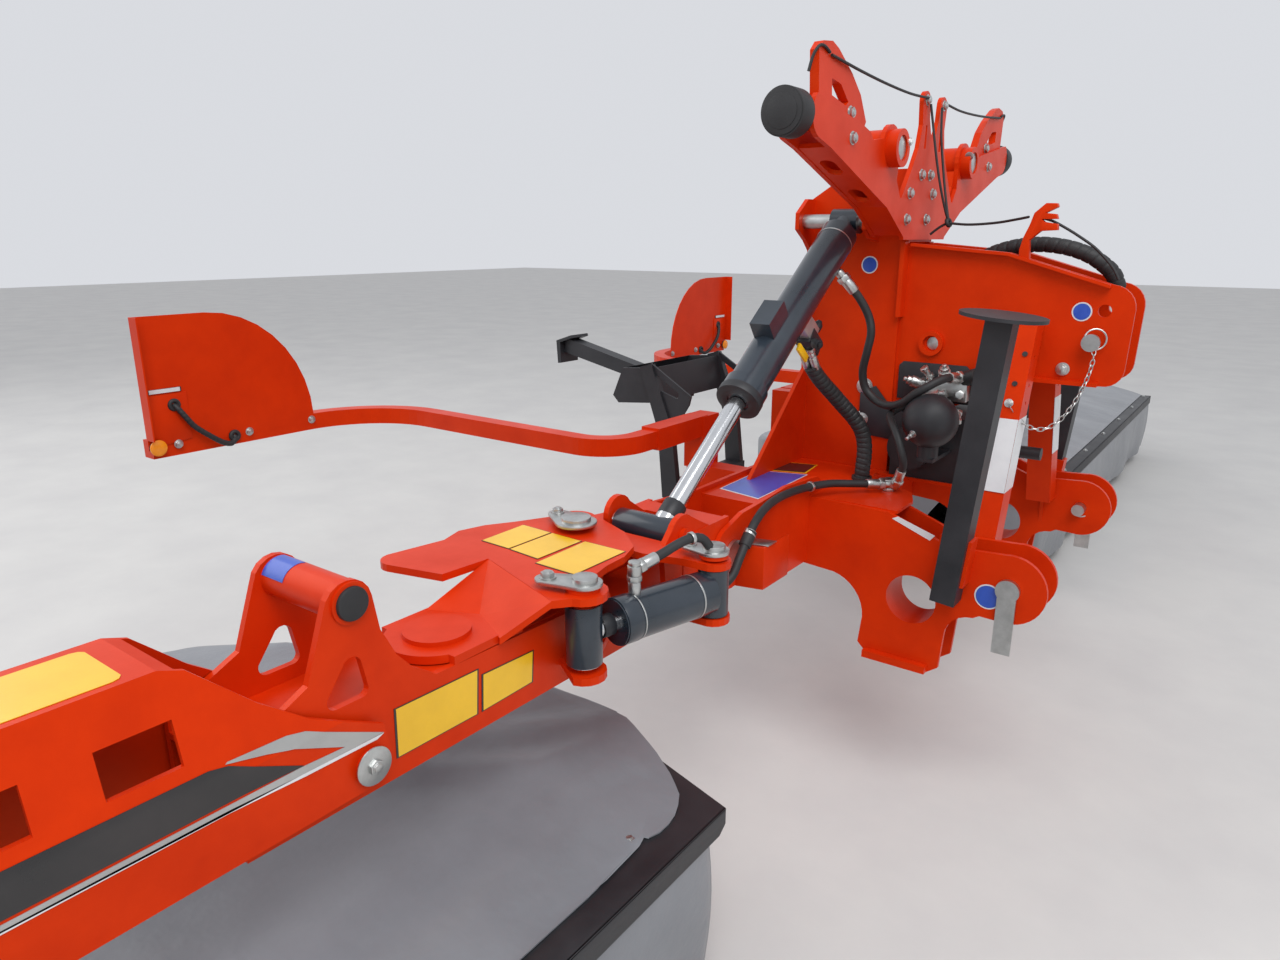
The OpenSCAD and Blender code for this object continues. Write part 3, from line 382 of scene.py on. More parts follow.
# %% The patch, its bend and its hanging border
def cover_mesh(side, rows=120, columns=58):
    """The mesh of one cover: a patch between four sides, with a hanging border."""
    front, rear = along(front_side, rows), along(rear_side, rows)
    inner, outer = along(inner_side, columns), along(outer_side, columns)
    mesh = bmesh.new()
    grid = []
    for i in range(rows):
        u, line = i / (rows - 1), []
        for j in range(columns):
            v = j / (columns - 1)
            flat = (1 - v) * front[i] + v * rear[i] + (1 - u) * inner[j] + u * outer[j]
            flat = flat - (1 - u) * (1 - v) * inner[0] - u * (1 - v) * outer[0]
            flat = flat - (1 - u) * v * inner[-1] - u * v * outer[-1]
            line.append(mesh.verts.new(spot(*flat, cover_height(*flat), side)))
        grid.append(line)
    bridge(mesh, grid)
    # The border runs from the slanted strip round the inner, rear and outer sides
    first = next(j for j in range(columns) if inner[j].x < -0.6)
    border = [grid[0][j] for j in range(first, columns)]
    border += [grid[i][-1] for i in range(1, rows)]
    border += [grid[-1][j] for j in range(columns - 2, 1, -1)]
    places = [v.co.copy() for v in border]
    last = border
    bend_steps, hem_steps, bend_radius, hem_height = 4, 10, 0.028, -0.62
    for k in range(1, bend_steps + hem_steps + 1):
        ring = []
        for n, place in enumerate(places):
            ahead = heading(places, n)
            out = Vector((ahead.y, -ahead.x, 0)).normalized() * -side
            near_end = min(n, len(places) - 1 - n) / 9
            bend = bend_radius * min(1, 0.2 + near_end)
            if k <= bend_steps:
                turn = pi / 2 * k / bend_steps
                away, down = bend * sin(turn), bend * (1 - cos(turn))
            else:
                share = (k - bend_steps) / hem_steps
                depth = (place.z - hitch_z - hem_height - bend) * min(1, near_end)
                fold = sin(n * 0.45 + 2 * noise.noise(place * 3)) * 0.01 * share
                away, down = bend + fold - 0.008 * share, bend + depth * share
            ring.append(mesh.verts.new(place + out * away - Vector((0, 0, down))))
        bridge(mesh, [last, ring])
        last = ring
    return mesh


# %% Opening round the hanger, thickness and ride
cloth_thickness = 0.003


def from_mesh(name, mesh, thick=0.0):
    """An object from a drawn mesh, thickened about its skin."""
    data = bpy.data.meshes.new(name)
    mesh.to_mesh(data)
    mesh.free()
    made = bpy.data.objects.new(name, data)
    scene.collection.objects.link(made)
    alone(made)
    if thick:
        skin = made.modifiers.new("skin", "SOLIDIFY")
        skin.thickness, skin.offset = thick, 0
        bpy.ops.object.modifier_apply(modifier="skin")
    return made


def make_cover(name, side):
    """One cover as a finished sheet."""
    mesh = cover_mesh(side)
    low, high = spot(-0.79, 2.7, 0, side), spot(-0.54, 3.05, 0, side)
    for place in (low, high):
        for normal in (FRONT, (0, 1, 0)):
            bmesh.ops.bisect_plane(mesh, geom=mesh.verts[:] + mesh.edges[:] + mesh.faces[:],
                plane_co=place, plane_no=normal)
    inside = []
    for face in mesh.faces:
        middle = face.calc_center_median()
        if low.x < middle.x < high.x and abs(abs(middle.y) - 2.875) < 0.175:
            if middle.z > hitch_z - 0.4:
                inside.append(face)
    bmesh.ops.delete(mesh, geom=inside, context="FACES")
    bmesh.ops.recalc_face_normals(mesh, faces=mesh.faces[:])
    cover = from_mesh(name, mesh, cloth_thickness)
    return finished(cover, name, canvas_cloth, edge=0, angle=60)


for word, side in wings:
    cover = make_cover(f"cover_{word}", side)
    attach(cover, f"unit_{word}")
    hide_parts(f"canvas_{word}")
    print(cover.name, len(cover.data.polygons), "faces")

# %% [markdown]
# A black steel rail carries the front edge of each cover: a flat top with a folded lip
# and a slanted strip round the inner corner. It is cut as a flat plate in plan, pushed
# down by its thickness and joined with its lip. Zinc bolts clamp the fabric to it.

# %% Front rails
rail_top = -0.2605
for word, side in wings:
    top = [(-0.292, 1.278), (-0.292, 4.46), (-0.372, 4.46), (-0.372, 1.62), (-0.42, 1.46), (-0.47, 1.34),
        (-0.605, 1.265), (-0.598, 1.19)]
    flat = plate(level(side, "z", rail_top, top), (0, 0, -0.005))
    lip = plate(level(side, "x", -0.292, [(1.278, rail_top), (4.46, rail_top), (4.46, -0.312),
        (1.3, -0.312), (1.278, -0.296)]), (-0.005, 0, 0))
    finished(joined([flat, lip]), f"front_rail_{word}", dark_paint, f"unit_{word}")
print("front rails:", len(wings))


# %% Front apron, hung below the rail
def make_apron(name, side):
    """A strip of the same fabric with upright folds, round the inner corner."""
    line = flow([(-0.575, 1.235, 0), (-0.47, 1.262, 0), (-0.38, 1.282, 0), (-0.325, 1.305, 0),
        (-0.304, 1.36, 0), (-0.302, 1.6, 0), (-0.302, 3.0, 0), (-0.302, 4.45, 0)], 50)
    mesh = bmesh.new()
    rows, apron_top, apron_drop = [], -0.28, 0.34
    for n, place in enumerate(line):
        ahead = heading(line, n).normalized()
        out, row = Vector((ahead.y, -ahead.x, 0)), []
        for k in range(12):
            share = k / 11
            bulge = 0.012 * sin(pi * share)
            fold = 0.012 * share * sin(n * 0.21 + 3 * noise.noise(place * 1.7))
            spread = place + out * (bulge + fold)
            height = apron_top - apron_drop * share
            row.append(mesh.verts.new(spot(spread.x, spread.y, height, side)))
        rows.append(row)
    bridge(mesh, rows)
    apron = from_mesh(name, mesh, cloth_thickness)
    outward(apron)
    return finished(apron, name, canvas_cloth, edge=0, angle=60)


for word, side in wings:
    apron = make_apron(f"front_apron_{word}", side)
    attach(apron, f"unit_{word}")

# %% [markdown]
# ## Bolts, caps and blank plates
# One hexagon bolt with its washer is modelled at the origin, pointing up. Each place in
# a short table gets a copy of it, turned to the surface and scaled to its real size,
# and the copies of one group become one piece.

# %% One hexagon bolt
washer = drum(1.25, 0.16, (0, 0, 0.08), corners=24)
head = drum(1.0, 0.62, (0, 0, 0.46), corners=6)
bpy.ops.object.mode_set(mode="EDIT")
bpy.ops.mesh.select_all(action="DESELECT")
top_face = bmesh.from_edit_mesh(head.data)
for face in top_face.faces:
    face.select_set(face.normal.z > 0.9)
for step_in, step_up in ((0.22, 0.1), (0.12, 0.12)):
    bpy.ops.mesh.inset(thickness=step_in)
    bpy.ops.mesh.extrude_region_move(TRANSFORM_OT_translate={"value": (0, 0, step_up)})
bpy.ops.object.mode_set(mode="OBJECT")
bolt = finished(joined([head, washer]), "bolt_model", zinc, edge=0.04)
print("bolt faces:", len(bolt.data.polygons))


# %% Copies of a model turned to a surface
def copies(model, name, body, rows):
    """Copies of a model at (place, direction, size) rows, joined as one piece."""
    made = []
    for place, direction, size in rows:
        copy = bpy.data.objects.new(name, model.data.copy())
        scene.collection.objects.link(copy)
        turn = aimed(direction).to_matrix().to_4x4()
        copy.matrix_world = Matrix.Translation(place) @ turn @ Matrix.Scale(size, 4)
        alone(copy)
        bpy.ops.object.transform_apply()
        made.append(copy)
    piece = joined(made)
    piece.name = name
    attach(piece, body)


# %% Bolts of the yoke, the box and the brace
yoke_bolts = [(-0.44, 0.07, 0.984), (-0.44, 0.001, 0.986), (-0.44, 0.147, 0.933), (-0.44, -0.03, 0.937),
    (-0.44, 0.159, 0.865), (-0.44, 0.007, 0.867), (-0.452, 0.534, 1.096), (-0.44, 0.541, 1.04)]
rows = [(spot(*p, -1), FRONT, 0.0125) for p in yoke_bolts]
rows += [(spot(*p), FRONT, 0.0125) for p in yoke_bolts[-2:]]
rows += [(spot(-0.44, y, 1.174), FRONT, 0.0115) for y in (0.068, -0.068)]
for word, side in wings:
    rows += [(spot(-0.018, 0.082, 0.487, side), (0, side, 0), 0.014),
        (spot(-0.414, 0.253, 1.052, side), (0, side * 0.96, 0.29), 0.01),
        (spot(-0.107, 0.2235, 0.408, side), (0, side * 0.94, 0.33), 0.009)]
copies(bolt, "frame_bolts", "frame", rows)
for word, side in wings:
    corner_bolts = ((-0.385, 1.471), (-0.583, 1.214))
    rows = [(spot(x, y, rail_top, side), UP, 0.011) for x, y in corner_bolts]
    rows += [(spot(-0.331, 1.9 + 0.5 * k, rail_top, side), UP, 0.009) for k in range(6)]
    copies(bolt, f"rail_bolts_{word}", f"unit_{word}", rows)

# %% [markdown]
# The big pins of the wing have zinc heads with a key plate, held by a bolt so that the
# pin can't turn. The plate is a ring of points round two circles, extruded and bevelled,
# with the pin's round end standing through it.


# %% A keyed pin head
def pin_head(name, body, place, away, big, small, length):
    """A head plate from the pin at place towards away, with its bolt."""
    a = atan2(away[1], away[0])
    ring = [(big * cos(a + radians(t)), big * sin(a + radians(t))) for t in range(75, 286, 15)]
    far = (length * cos(a), length * sin(a))
    ring += [(far[0] + small * cos(a + radians(t)), far[1] + small * sin(a + radians(t))) for t
        in range(-75, 76, 15)]
    key = plate([place + Vector((x, y, 0)) for x, y in ring], (0, 0, 0.008))
    end = drum(big * 0.72, 0.012, place + Vector((0, 0, 0.012)), corners=40)
    finished(joined([key, end]), name, zinc, body, edge=0.002)
    copies(bolt, name + "_bolt", body, [(place + Vector((*far, 0.008)), UP, small * 0.55)])


for word, side in wings:
    boom = f"boom_{word}"
    pin_head(f"swing_pin_head_{word}", boom, spot(-0.735, 1.2, 0.2175, side), (-1, -0.3 * side), 0.046,
        0.022, 0.075)
    pin_head(f"rod_pin_head_{word}", boom, spot(-0.5, 1.449, 0.2145, side), (-0.9, 0.35 * side), 0.033,
        0.024, 0.072)
    pin_head(f"barrel_pin_head_{word}", f"fold_bracket_{word}", spot(-0.423, 1.134, 0.2005, side),
        (-1, 0.1 * side), 0.033, 0.02, 0.055)

# %% [markdown]
# Signs are thin blank films of one colour, some with a rim of a second one. The round
# blue ones mark the lifting points.

# %% Colours of the films
yellow_film = metal_finish("yellow_film", (0.86, 0.5, 0.012), (0.74, 0.42, 0.01), rough=(0.25, 0.4),
    coat=0.3)
blue_film = metal_finish("blue_film", (0.02, 0.07, 0.42), (0.035, 0.1, 0.5), scale=25, rough=(0.25, 0.4),
    coat=0.3)
white_film = metal_finish("white_film", (0.72, 0.73, 0.74), (0.6, 0.61, 0.63), rough=(0.25, 0.4),
    coat=0.3)
black_film = metal_finish("black_film", (0.014, 0.013, 0.014), (0.03, 0.025, 0.025), rough=(0.2, 0.4),
    coat=0.3)
amber_lens = metal_finish("amber_lens", (0.9, 0.3, 0.012), (0.8, 0.24, 0.01), scale=60,
    rough=(0.12, 0.25), fine=700)
silver_film = metal_finish("silver_film", (0.5, 0.5, 0.49), (0.4, 0.4, 0.39), metallic=0.6,
    rough=(0.25, 0.4))
print("films:", 5)


# %% A blank film and its pale rim
film_thickness, face_thickness = 0.0008, 0.0006


def film(name, finish, body, corners, rise, rim=None, inset=0.005):
    """A thin film on a surface, its direction outwards given by the rise."""
    rise = Vector(rise)
    sheet = plate(corners, rise * film_thickness)
    made = [finished(sheet, name, rim or finish, body, edge=0)]
    if rim:
        middle = sum(corners, Vector()) / len(corners)
        inner = [c + (middle - c).normalized() * inset * 1.4 + rise * film_thickness for c in corners]
        face = plate(inner, rise * face_thickness)
        made.append(finished(face, name + "_face", finish, body, edge=0))
    return made


def disc_corners(middle, across, up, radius):
    """Corners of a round film."""
    across, up = Vector(across), Vector(up)
    turns = [tau * k / 36 for k in range(36)]
    return [middle + radius * (cos(t) * across + sin(t) * up) for t in turns]


# %% Signs of the frame and the booms
for word, side in wings:
    for n, (x, y, z, radius) in enumerate([(-0.045, 0.4697, -0.028, 0.032), (0.01, 0.0822, 0.636, 0.024),
            (-0.56, 0.0942, 0.742, 0.0245)]):
        film(f"round_sign_{n}_{word}", blue_film, "frame", disc_corners(spot(x, y, z, side), FRONT, UP,
            radius), (0, side, 0), white_film, 0.0025)
# Each row: name, finish, rim and its width, the plane's axis and place, the corners
frame_signs = [
    ("beam_sign", blue_film, white_film, 0.005, "z", 0.1422, [(-0.765, 0.554), (-0.772, 0.315),
     (-0.634, 0.272), (-0.629, 0.579)]),
    ("beam_sign_small", black_film, yellow_film, 0.005, "z", 0.1422, [(-0.766, 0.3), (-0.768, 0.18),
     (-0.66, 0.15), (-0.645, 0.262)]),
    ("plate_sign", white_film, None, 0.005, "y", 0.4697, [(-0.299, 0.124), (-0.284, 0.132),
     (-0.186, 0.1), (-0.198, 0.085)])]
boom_signs = [
    ("boom_sign_low", yellow_film, black_film, 0.003, "x", -0.5697, [(1.827, 0.117), (1.65, 0.112),
     (1.656, 0.028), (1.829, 0.031)]),
    ("boom_sign_low_2", yellow_film, black_film, 0.003, "x", -0.5697, [(1.644, 0.098), (1.515, 0.093),
     (1.52, 0.03), (1.648, 0.028)]),
    ("boom_sign_top_0", yellow_film, black_film, 0.002, "z", 0.2052, [(-0.846, 1.376), (-0.848, 1.247),
     (-0.762, 1.25), (-0.764, 1.378)]),
    ("boom_sign_top_1", yellow_film, black_film, 0.002, "z", 0.2052, [(-0.761, 1.379), (-0.759, 1.25),
     (-0.674, 1.252), (-0.676, 1.386)]),
    ("boom_sign_top_2", yellow_film, black_film, 0.002, "z", 0.2052, [(-0.665, 1.405), (-0.668, 1.249),
     (-0.562, 1.247), (-0.562, 1.406)]),
    ("arm_sign", yellow_film, None, 0.005, "z", 0.3122, [(-0.602, 2.192), (-0.605, 2.183),
     (-0.612, 2.178), (-0.712, 2.178), (-0.719, 2.183), (-0.722, 2.192), (-0.722, 2.66), (-0.602, 2.66)])]
for word, side in wings:
    rise = {"x": FRONT, "y": (0, side, 0), "z": UP}
    for body, signs in (("frame", frame_signs), (f"boom_{word}", boom_signs)):
        for name, finish, rim, inset, axis, value, corners in signs:
            film(f"{name}_{word}", finish, body, level(side, axis, value, corners), rise[axis], rim,
                inset)
print("signs a side:", len(frame_signs + boom_signs) + 3)


# %% A film laid over the arm's shoulder
shoulder, lean_in = 0.15, 0.247


def over_shoulder(made, push):
    """Cuts a film at the height where the arm's side leans in, and leans it too."""
    edit(made[0], bpy.ops.mesh.bisect, plane_co=(0, 0, shoulder + hitch_z), plane_no=UP)
    for vertex in made[0].data.vertices:
        over = max(0, vertex.co.z - hitch_z - shoulder)
        vertex.co.x -= push * lean_in * over


# %% The stripe on both sides of the arm: a silver arrow, a white line, a black band
stripes = [
    ("silver", silver_film, [(1.862, 0.102), (1.985, 0.163), (2.013, 0.169), (2.095, 0.172),
     (2.098, 0.17), (2.045, 0.158), (2.006, 0.147), (1.929, 0.111), (2.0, 0.115), (2.85, 0.113),
     (2.85, 0.108), (1.993, 0.103)]),
    ("white", white_film, [(1.862, 0.101), (1.993, 0.1028), (2.104, 0.1075), (2.85, 0.1075),
     (2.85, 0.103), (2.104, 0.103), (1.993, 0.098), (1.875, 0.096)]),
    ("black", black_film, [(1.995, 0.1155), (2.095, 0.1665), (2.12, 0.1715), (2.85, 0.1715),
     (2.85, 0.1185), (2.08, 0.1185)])]
for word, side in wings:
    for where, x, push in (("front", -0.5497, 1), ("rear", -0.7803, -1)):
        for name, finish, corners in stripes:
            made = film(f"stripe_{name}_{where}_{word}", finish, f"boom_{word}",
                level(side, "x", x, corners), (push, 0, 0))
            if name != "white":
                over_shoulder(made, push)
print("stripes an arm:", 2 * len(stripes))

# %% Bolt and washer of each arm, plugs and blue tag of the boom's cross tube
tag_radius = 0.0326
for word, side in wings:
    boom = f"boom_{word}"
    ends = [(spot(-0.5415, 1.89, 0.062, side), 1), (spot(-0.7885, 1.89, 0.062, side), -1)]
    copies(bolt, f"arm_bolts_{word}", boom, [(place, (push, 0, 0), 0.0125) for place, push in ends])
    for place, push in ends:
        ring = plate(disc_corners(place, (0, 1, 0), UP, 0.0305), (0.003 * push, 0, 0))
        finished(ring, f"arm_washer_{word}", zinc, boom, edge=0.001)
    for x in (-0.5655, -0.7645):
        plug = drum(0.026, 0.012, spot(x, 1.885, 0.315, side), (0, pi / 2, 0), 36)
        finished(plug, f"tube_plug_{word}", rubber, boom, edge=0.003)
    # The tag is a strip bent round the tube
    bend = [radians(20 + 11 * k) for k in range(9)]
    outer = [spot(-0.745, 1.885 + tag_radius * cos(a), 0.315 + tag_radius * sin(a), side) for a in bend]
    tag_mesh = bmesh.new()
    left = [tag_mesh.verts.new(p) for p in outer]
    right = [tag_mesh.verts.new(p + Vector((0.055, 0, 0))) for p in outer]
    bridge(tag_mesh, [left, right])
    tag = from_mesh("tube_tag", tag_mesh, film_thickness)
    outward(tag)
    finished(tag, f"tube_tag_{word}", blue_film, boom, edge=0)
print("arms dressed:", len(wings))

# %% [markdown]
# Dark sleeves cover the eyes and the necks of the rods, and thin rings mark the seams of
# the barrels. Each is an open tube along its cylinder's axis, given a wall.


# %% Black sleeves of the rods' eyes, and collars on the cylinders
def collar(name, body, middle, axis, radius, length, finish, wall=0.003):
    """An open ring round an axis, with a wall."""
    ring = drum(radius, length, middle, aimed(axis).to_euler(), 48, "NOTHING")
    bpy.ops.object.transform_apply()
    wall_part = ring.modifiers.new("wall", "SOLIDIFY")
    wall_part.thickness, wall_part.offset = wall, 1
    bpy.ops.object.modifier_apply(modifier="wall")
    finished(ring, name, finish, body, edge=0.0008)


for word, side in wings:
    barrel, rod = f"safety_barrel_{word}", f"safety_rod_{word}"
    a, b = spot(-0.423, 1.134, 0.12, side), spot(-0.505, 1.448, 0.12, side)
    line = (b - a).normalized()
    collar(f"safety_eye_{word}", rod, b, UP, 0.0322, 0.118, cylinder_paint, 0.002)
    collar(f"safety_neck_{word}", rod, b - line * 0.048, line, 0.0185, 0.026, dark_paint)
    collar(f"safety_gland_{word}", barrel, a + line * 0.235, line, 0.0455, 0.034, cylinder_paint, 0.0015)
    collar(f"safety_seam_{word}", barrel, a + line * 0.062, line, 0.0455, 0.004, zinc, 0.0006)
    collar(f"safety_seam_2_{word}", barrel, a + line * 0.212, line, 0.0455, 0.003, zinc, 0.0006)
    barrel, rod = f"lift_barrel_{word}", f"lift_rod_{word}"
    top, eye = spot(-0.61, 0.155, 0.862, side), spot(-0.61, 1.06, 0.19, side)
    line = (eye - top).normalized()
    collar(f"lift_seam_{word}", barrel, top + line * 0.1, line, 0.0505, 0.004, zinc, 0.0006)
    collar(f"lift_gland_{word}", barrel, top + line * 0.712, line, 0.028, 0.022, dark_paint, 0.03)
    collar(f"lift_eye_{word}", rod, spot(-0.6465, 1.06, 0.19, side), FRONT, 0.0302, 0.15, cylinder_paint,
        0.002)
    collar(f"lift_rod_neck_{word}", rod, eye - line * 0.055, line, 0.0245, 0.04, dark_paint)
print("collars done")

# %% [markdown]
# ## Hoses, cords and chain
# A hose is a round tube along a smooth line through the places that it passes, with a
# spiral groove where the real one is wrapped. Its ends get a crimped sleeve and a nut.
# One that crosses a joint is left free of both bodies, and the crimp at its far end rides on the far one.


# %% A tube along a line
def tube(name, path, radius, finish, around=14, groove=0.0, pitch=0.03):
    """A closed tube round a path, its frame carried along without twist.

    A groove is a share of the radius, cut in a spiral with one turn to each pitch.
    """
    mesh = bmesh.new()
    rings, side_way, run = [], None, 0.0
    for n, place in enumerate(path):
        ahead = heading(path, n).normalized()
        if side_way is None:
            side_way = ahead.orthogonal().normalized()
        side_way = (side_way - ahead * side_way.dot(ahead)).normalized()
        up = ahead.cross(side_way)
        if n:
            run += (place - path[n - 1]).length
        ring = []
        for k in range(around):
            turn = tau * k / around
            cut = groove * max(0.0, sin(tau * run / pitch + turn)) ** 6
            way = cos(turn) * side_way + sin(turn) * up
            ring.append(mesh.verts.new(place + radius * (1 - cut) * way))
        rings.append(ring)
    bridge(mesh, [ring + ring[:1] for ring in rings])
    mesh.faces.new(rings[0][::-1])
    mesh.faces.new(rings[-1])
    made = from_mesh(name, mesh)
    outward(made)
    return finished(made, name, finish, edge=0, angle=50)


# %% Crimped ends
def crimp(name, body, place, direction, radius):
    """A crimped sleeve and a hexagon nut at a hose's end, pointing away from it."""
    direction = Vector(direction).normalized()
    turn, made = aimed(direction).to_euler(), []
    # The sleeve, the nut and the neck, each as wide, long and far out as it is, in radii
    for wide, long, shift, corners in ((1.28, 3.4, 0.2, 28), (1.6, 1.4, 2.6, 6), (1.05, 1.6, 4.0, 28)):
        made.append(drum(radius * wide, radius * long, place + direction * radius * shift, turn, corners))
    return finished(joined(made), name, zinc, body, edge=0.0012)


# %% A declared hose with its ends
def hose(name, points, radius, side, body, far=None, groove=0.0,
        ends=(0, -1), finish=rubber, pitch=0.03):
    """A hose through places (x, y, z) from the hitch, left free of any body when far is given.

    ends are the points of its path where its crimps sit, or None for no crimp.
    """
    path = flow([spot(*p, side) for p in points], 500 if groove else 110)
    made = tube(name, path, radius, finish, groove=groove, pitch=pitch)
    if far:
        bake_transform(made)
    else:
        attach(made, body)
    for n, letter, rider, step in ((ends[0], "a", body, 3), (ends[1], "b", far or body, -3)):
        if n is not None:
            crimp(f"{name}_end_{letter}", rider, path[n], path[n] - path[n + step], radius)


# %% Hoses of the wings
for word, side in wings:
    bracket, barrel = f"fold_bracket_{word}", f"safety_barrel_{word}"
    # From the break-away cylinder's port over its barrel to the bracket
    hose(f"safety_hose_{word}", [(-0.477, 1.331, 0.192), (-0.477, 1.33, 0.206), (-0.474, 1.319, 0.216),
        (-0.468, 1.292, 0.222), (-0.46, 1.26, 0.229), (-0.452, 1.225, 0.238), (-0.443, 1.19, 0.243),
        (-0.432, 1.165, 0.238), (-0.424, 1.15, 0.218)], 0.0095, side, barrel, bracket,
        ends=(6, None))
    collar(f"safety_hose_ring_{word}", bracket, spot(-0.4425, 1.188, 0.2432, side),
        (0.28, -0.95 * side, 0.08), 0.0098, 0.008, zinc)
    # From the bracket over the fold joint along the beam to the deck
    hose(f"fold_hose_{word}", [(-0.535, 0.99, 0.03), (-0.505, 0.93, 0.055), (-0.5, 0.893, 0.1),
        (-0.5, 0.862, 0.135), (-0.503, 0.822, 0.165), (-0.512, 0.76, 0.182), (-0.522, 0.68, 0.186),
        (-0.524, 0.59, 0.184), (-0.514, 0.505, 0.18), (-0.488, 0.44, 0.178), (-0.45, 0.385, 0.172),
        (-0.41, 0.34, 0.168)], 0.0105, side, bracket, "frame",
        ends=(None, -1))
    # From the lift cylinder's upper port to the valves
    hose(f"lift_hose_{word}", [(-0.566, 0.274, 0.712), (-0.548, 0.261, 0.694), (-0.522, 0.242, 0.657),
        (-0.499, 0.227, 0.61), (-0.487, 0.229, 0.565), (-0.495, 0.228, 0.513), (-0.511, 0.211, 0.452),
        (-0.505, 0.198, 0.403), (-0.474, 0.2, 0.374), (-0.44, 0.212, 0.365), (-0.406, 0.226, 0.369),
        (-0.372, 0.239, 0.386), (-0.345, 0.246, 0.41), (-0.318, 0.24, 0.429), (-0.296, 0.218, 0.445),
        (-0.281, 0.19, 0.452), (-0.273, 0.162, 0.45)], 0.0115, side, f"lift_barrel_{word}", "frame",
        ends=(4, -1))
print("wing hoses a side:", 3)

# %% The accumulator's hose, the two in a spiral sleeve and the ribbed supply hoses
hose("accumulator_hose", [(-0.336, 0.163, 0.388), (-0.384, 0.168, 0.37), (-0.412, 0.195, 0.352),
    (-0.415, 0.226, 0.34), (-0.4, 0.26, 0.332), (-0.376, 0.292, 0.316), (-0.354, 0.313, 0.29),
    (-0.34, 0.321, 0.258), (-0.335, 0.317, 0.23), (-0.346, 0.306, 0.198)], 0.0105, -1, "frame")
for word, side in wings:
    hose(f"sleeved_hose_{word}", [(-0.6, 0.356, 0.476), (-0.592, 0.337, 0.45), (-0.578, 0.312, 0.42),
        (-0.566, 0.29, 0.397), (-0.553, 0.268, 0.372), (-0.539, 0.25, 0.349), (-0.523, 0.235, 0.326),
        (-0.508, 0.224, 0.302), (-0.498, 0.216, 0.278), (-0.491, 0.212, 0.246), (-0.488, 0.214, 0.212),
        (-0.488, 0.219, 0.176), (-0.488, 0.221, 0.141)], 0.022, side, f"lift_barrel_{word}", "frame",
        groove=0.1, ends=(None, None),
        pitch=0.016)
    collar(f"deck_grommet_{word}", "frame", spot(-0.488, 0.221, 0.147, side), UP, 0.0225, 0.01, rubber,
        wall=0.006)
hose("supply_hose", [(-0.325, 0.044, 0.69), (-0.305, 0.032, 0.73), (-0.27, 0.014, 0.764),
    (-0.225, 0.003, 0.784), (-0.17, 0.0, 0.797), (-0.115, 0.0, 0.8), (-0.057, 0.0, 0.792),
    (-0.01, 0.003, 0.776), (0.024, 0.01, 0.755), (0.052, 0.026, 0.727), (0.066, 0.044, 0.69)], 0.0205, 1,
    "frame", groove=0.12, ends=(None, None), pitch=0.025)
print("hoses done")

# %% [markdown]
# The locks of the wings are pulled by thin cords, from each horn to the prongs in the
# middle and down to a knot and the hose hook. A cord's slack shows as a small sag.


# %% Cords of the locks
cord_radius = 0.0034


def lock_cord(name, points, side=1):
    """A thin cord on the frame."""
    path = flow([spot(*p, side) for p in points], 70)
    made = tube(name, path, cord_radius, rubber, around=8)
    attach(made, "frame")


for word, side in wings:
    lock_cord(f"horn_cord_{word}", [(-0.448, 0.655, 1.2), (-0.443, 0.5, 1.187), (-0.439, 0.35, 1.178),
        (-0.436, 0.2, 1.174), (-0.434, 0.075, 1.178)], side=side)
    lock_cord(f"horn_cord_end_{word}", [(-0.4485, 0.664, 1.204), (-0.4485, 0.69, 1.212),
        (-0.45, 0.709, 1.212), (-0.455, 0.7175, 1.203), (-0.461, 0.722, 1.187), (-0.466, 0.727, 1.16)],
        side)
lock_cord("middle_cord_right", [(-0.434, -0.055, 1.165), (-0.424, -0.052, 1.11), (-0.411, -0.05, 1.04),
    (-0.394, -0.045, 0.96), (-0.378, -0.03, 0.89), (-0.37, -0.02, 0.862)])
lock_cord("middle_cord_left", [(-0.432, 0.03, 1.165), (-0.426, 0.026, 1.09), (-0.411, 0.018, 1.01),
    (-0.392, 0.004, 0.93), (-0.373, -0.01, 0.862)])
lock_cord("hook_cord", [(-0.366, -0.018, 0.856), (-0.311, -0.021, 0.852), (-0.24, -0.027, 0.856),
    (-0.178, -0.06, 0.864), (-0.143, -0.088, 0.869)])
lock_cord("box_cord", [(-0.112, -0.09, 0.866), (-0.088, -0.075, 0.859), (-0.051, -0.062, 0.838),
    (-0.019, -0.06, 0.818), (0.013, -0.06, 0.796), (0.039, -0.06, 0.772), (0.064, -0.06, 0.744),
    (0.08, -0.06, 0.716)])
lock_cord("knot_end", [(-0.373, -0.02, 0.856), (-0.388, -0.022, 0.848), (-0.402, -0.024, 0.838),
    (-0.416, -0.026, 0.826)])
knot = wire_ring(0.009, 0.0055, spot(-0.37, -0.018, 0.858), (0.5, 1.2, 0.3), 20, 10)
finished(knot, "cord_knot", rubber, "frame", edge=0)
print("cords done")

# %% [markdown]
# The chain keeps the top link's pin from getting lost. One oval link is a torus pulled
# long, and copies of it, each turned a quarter from the last, follow the slack line.

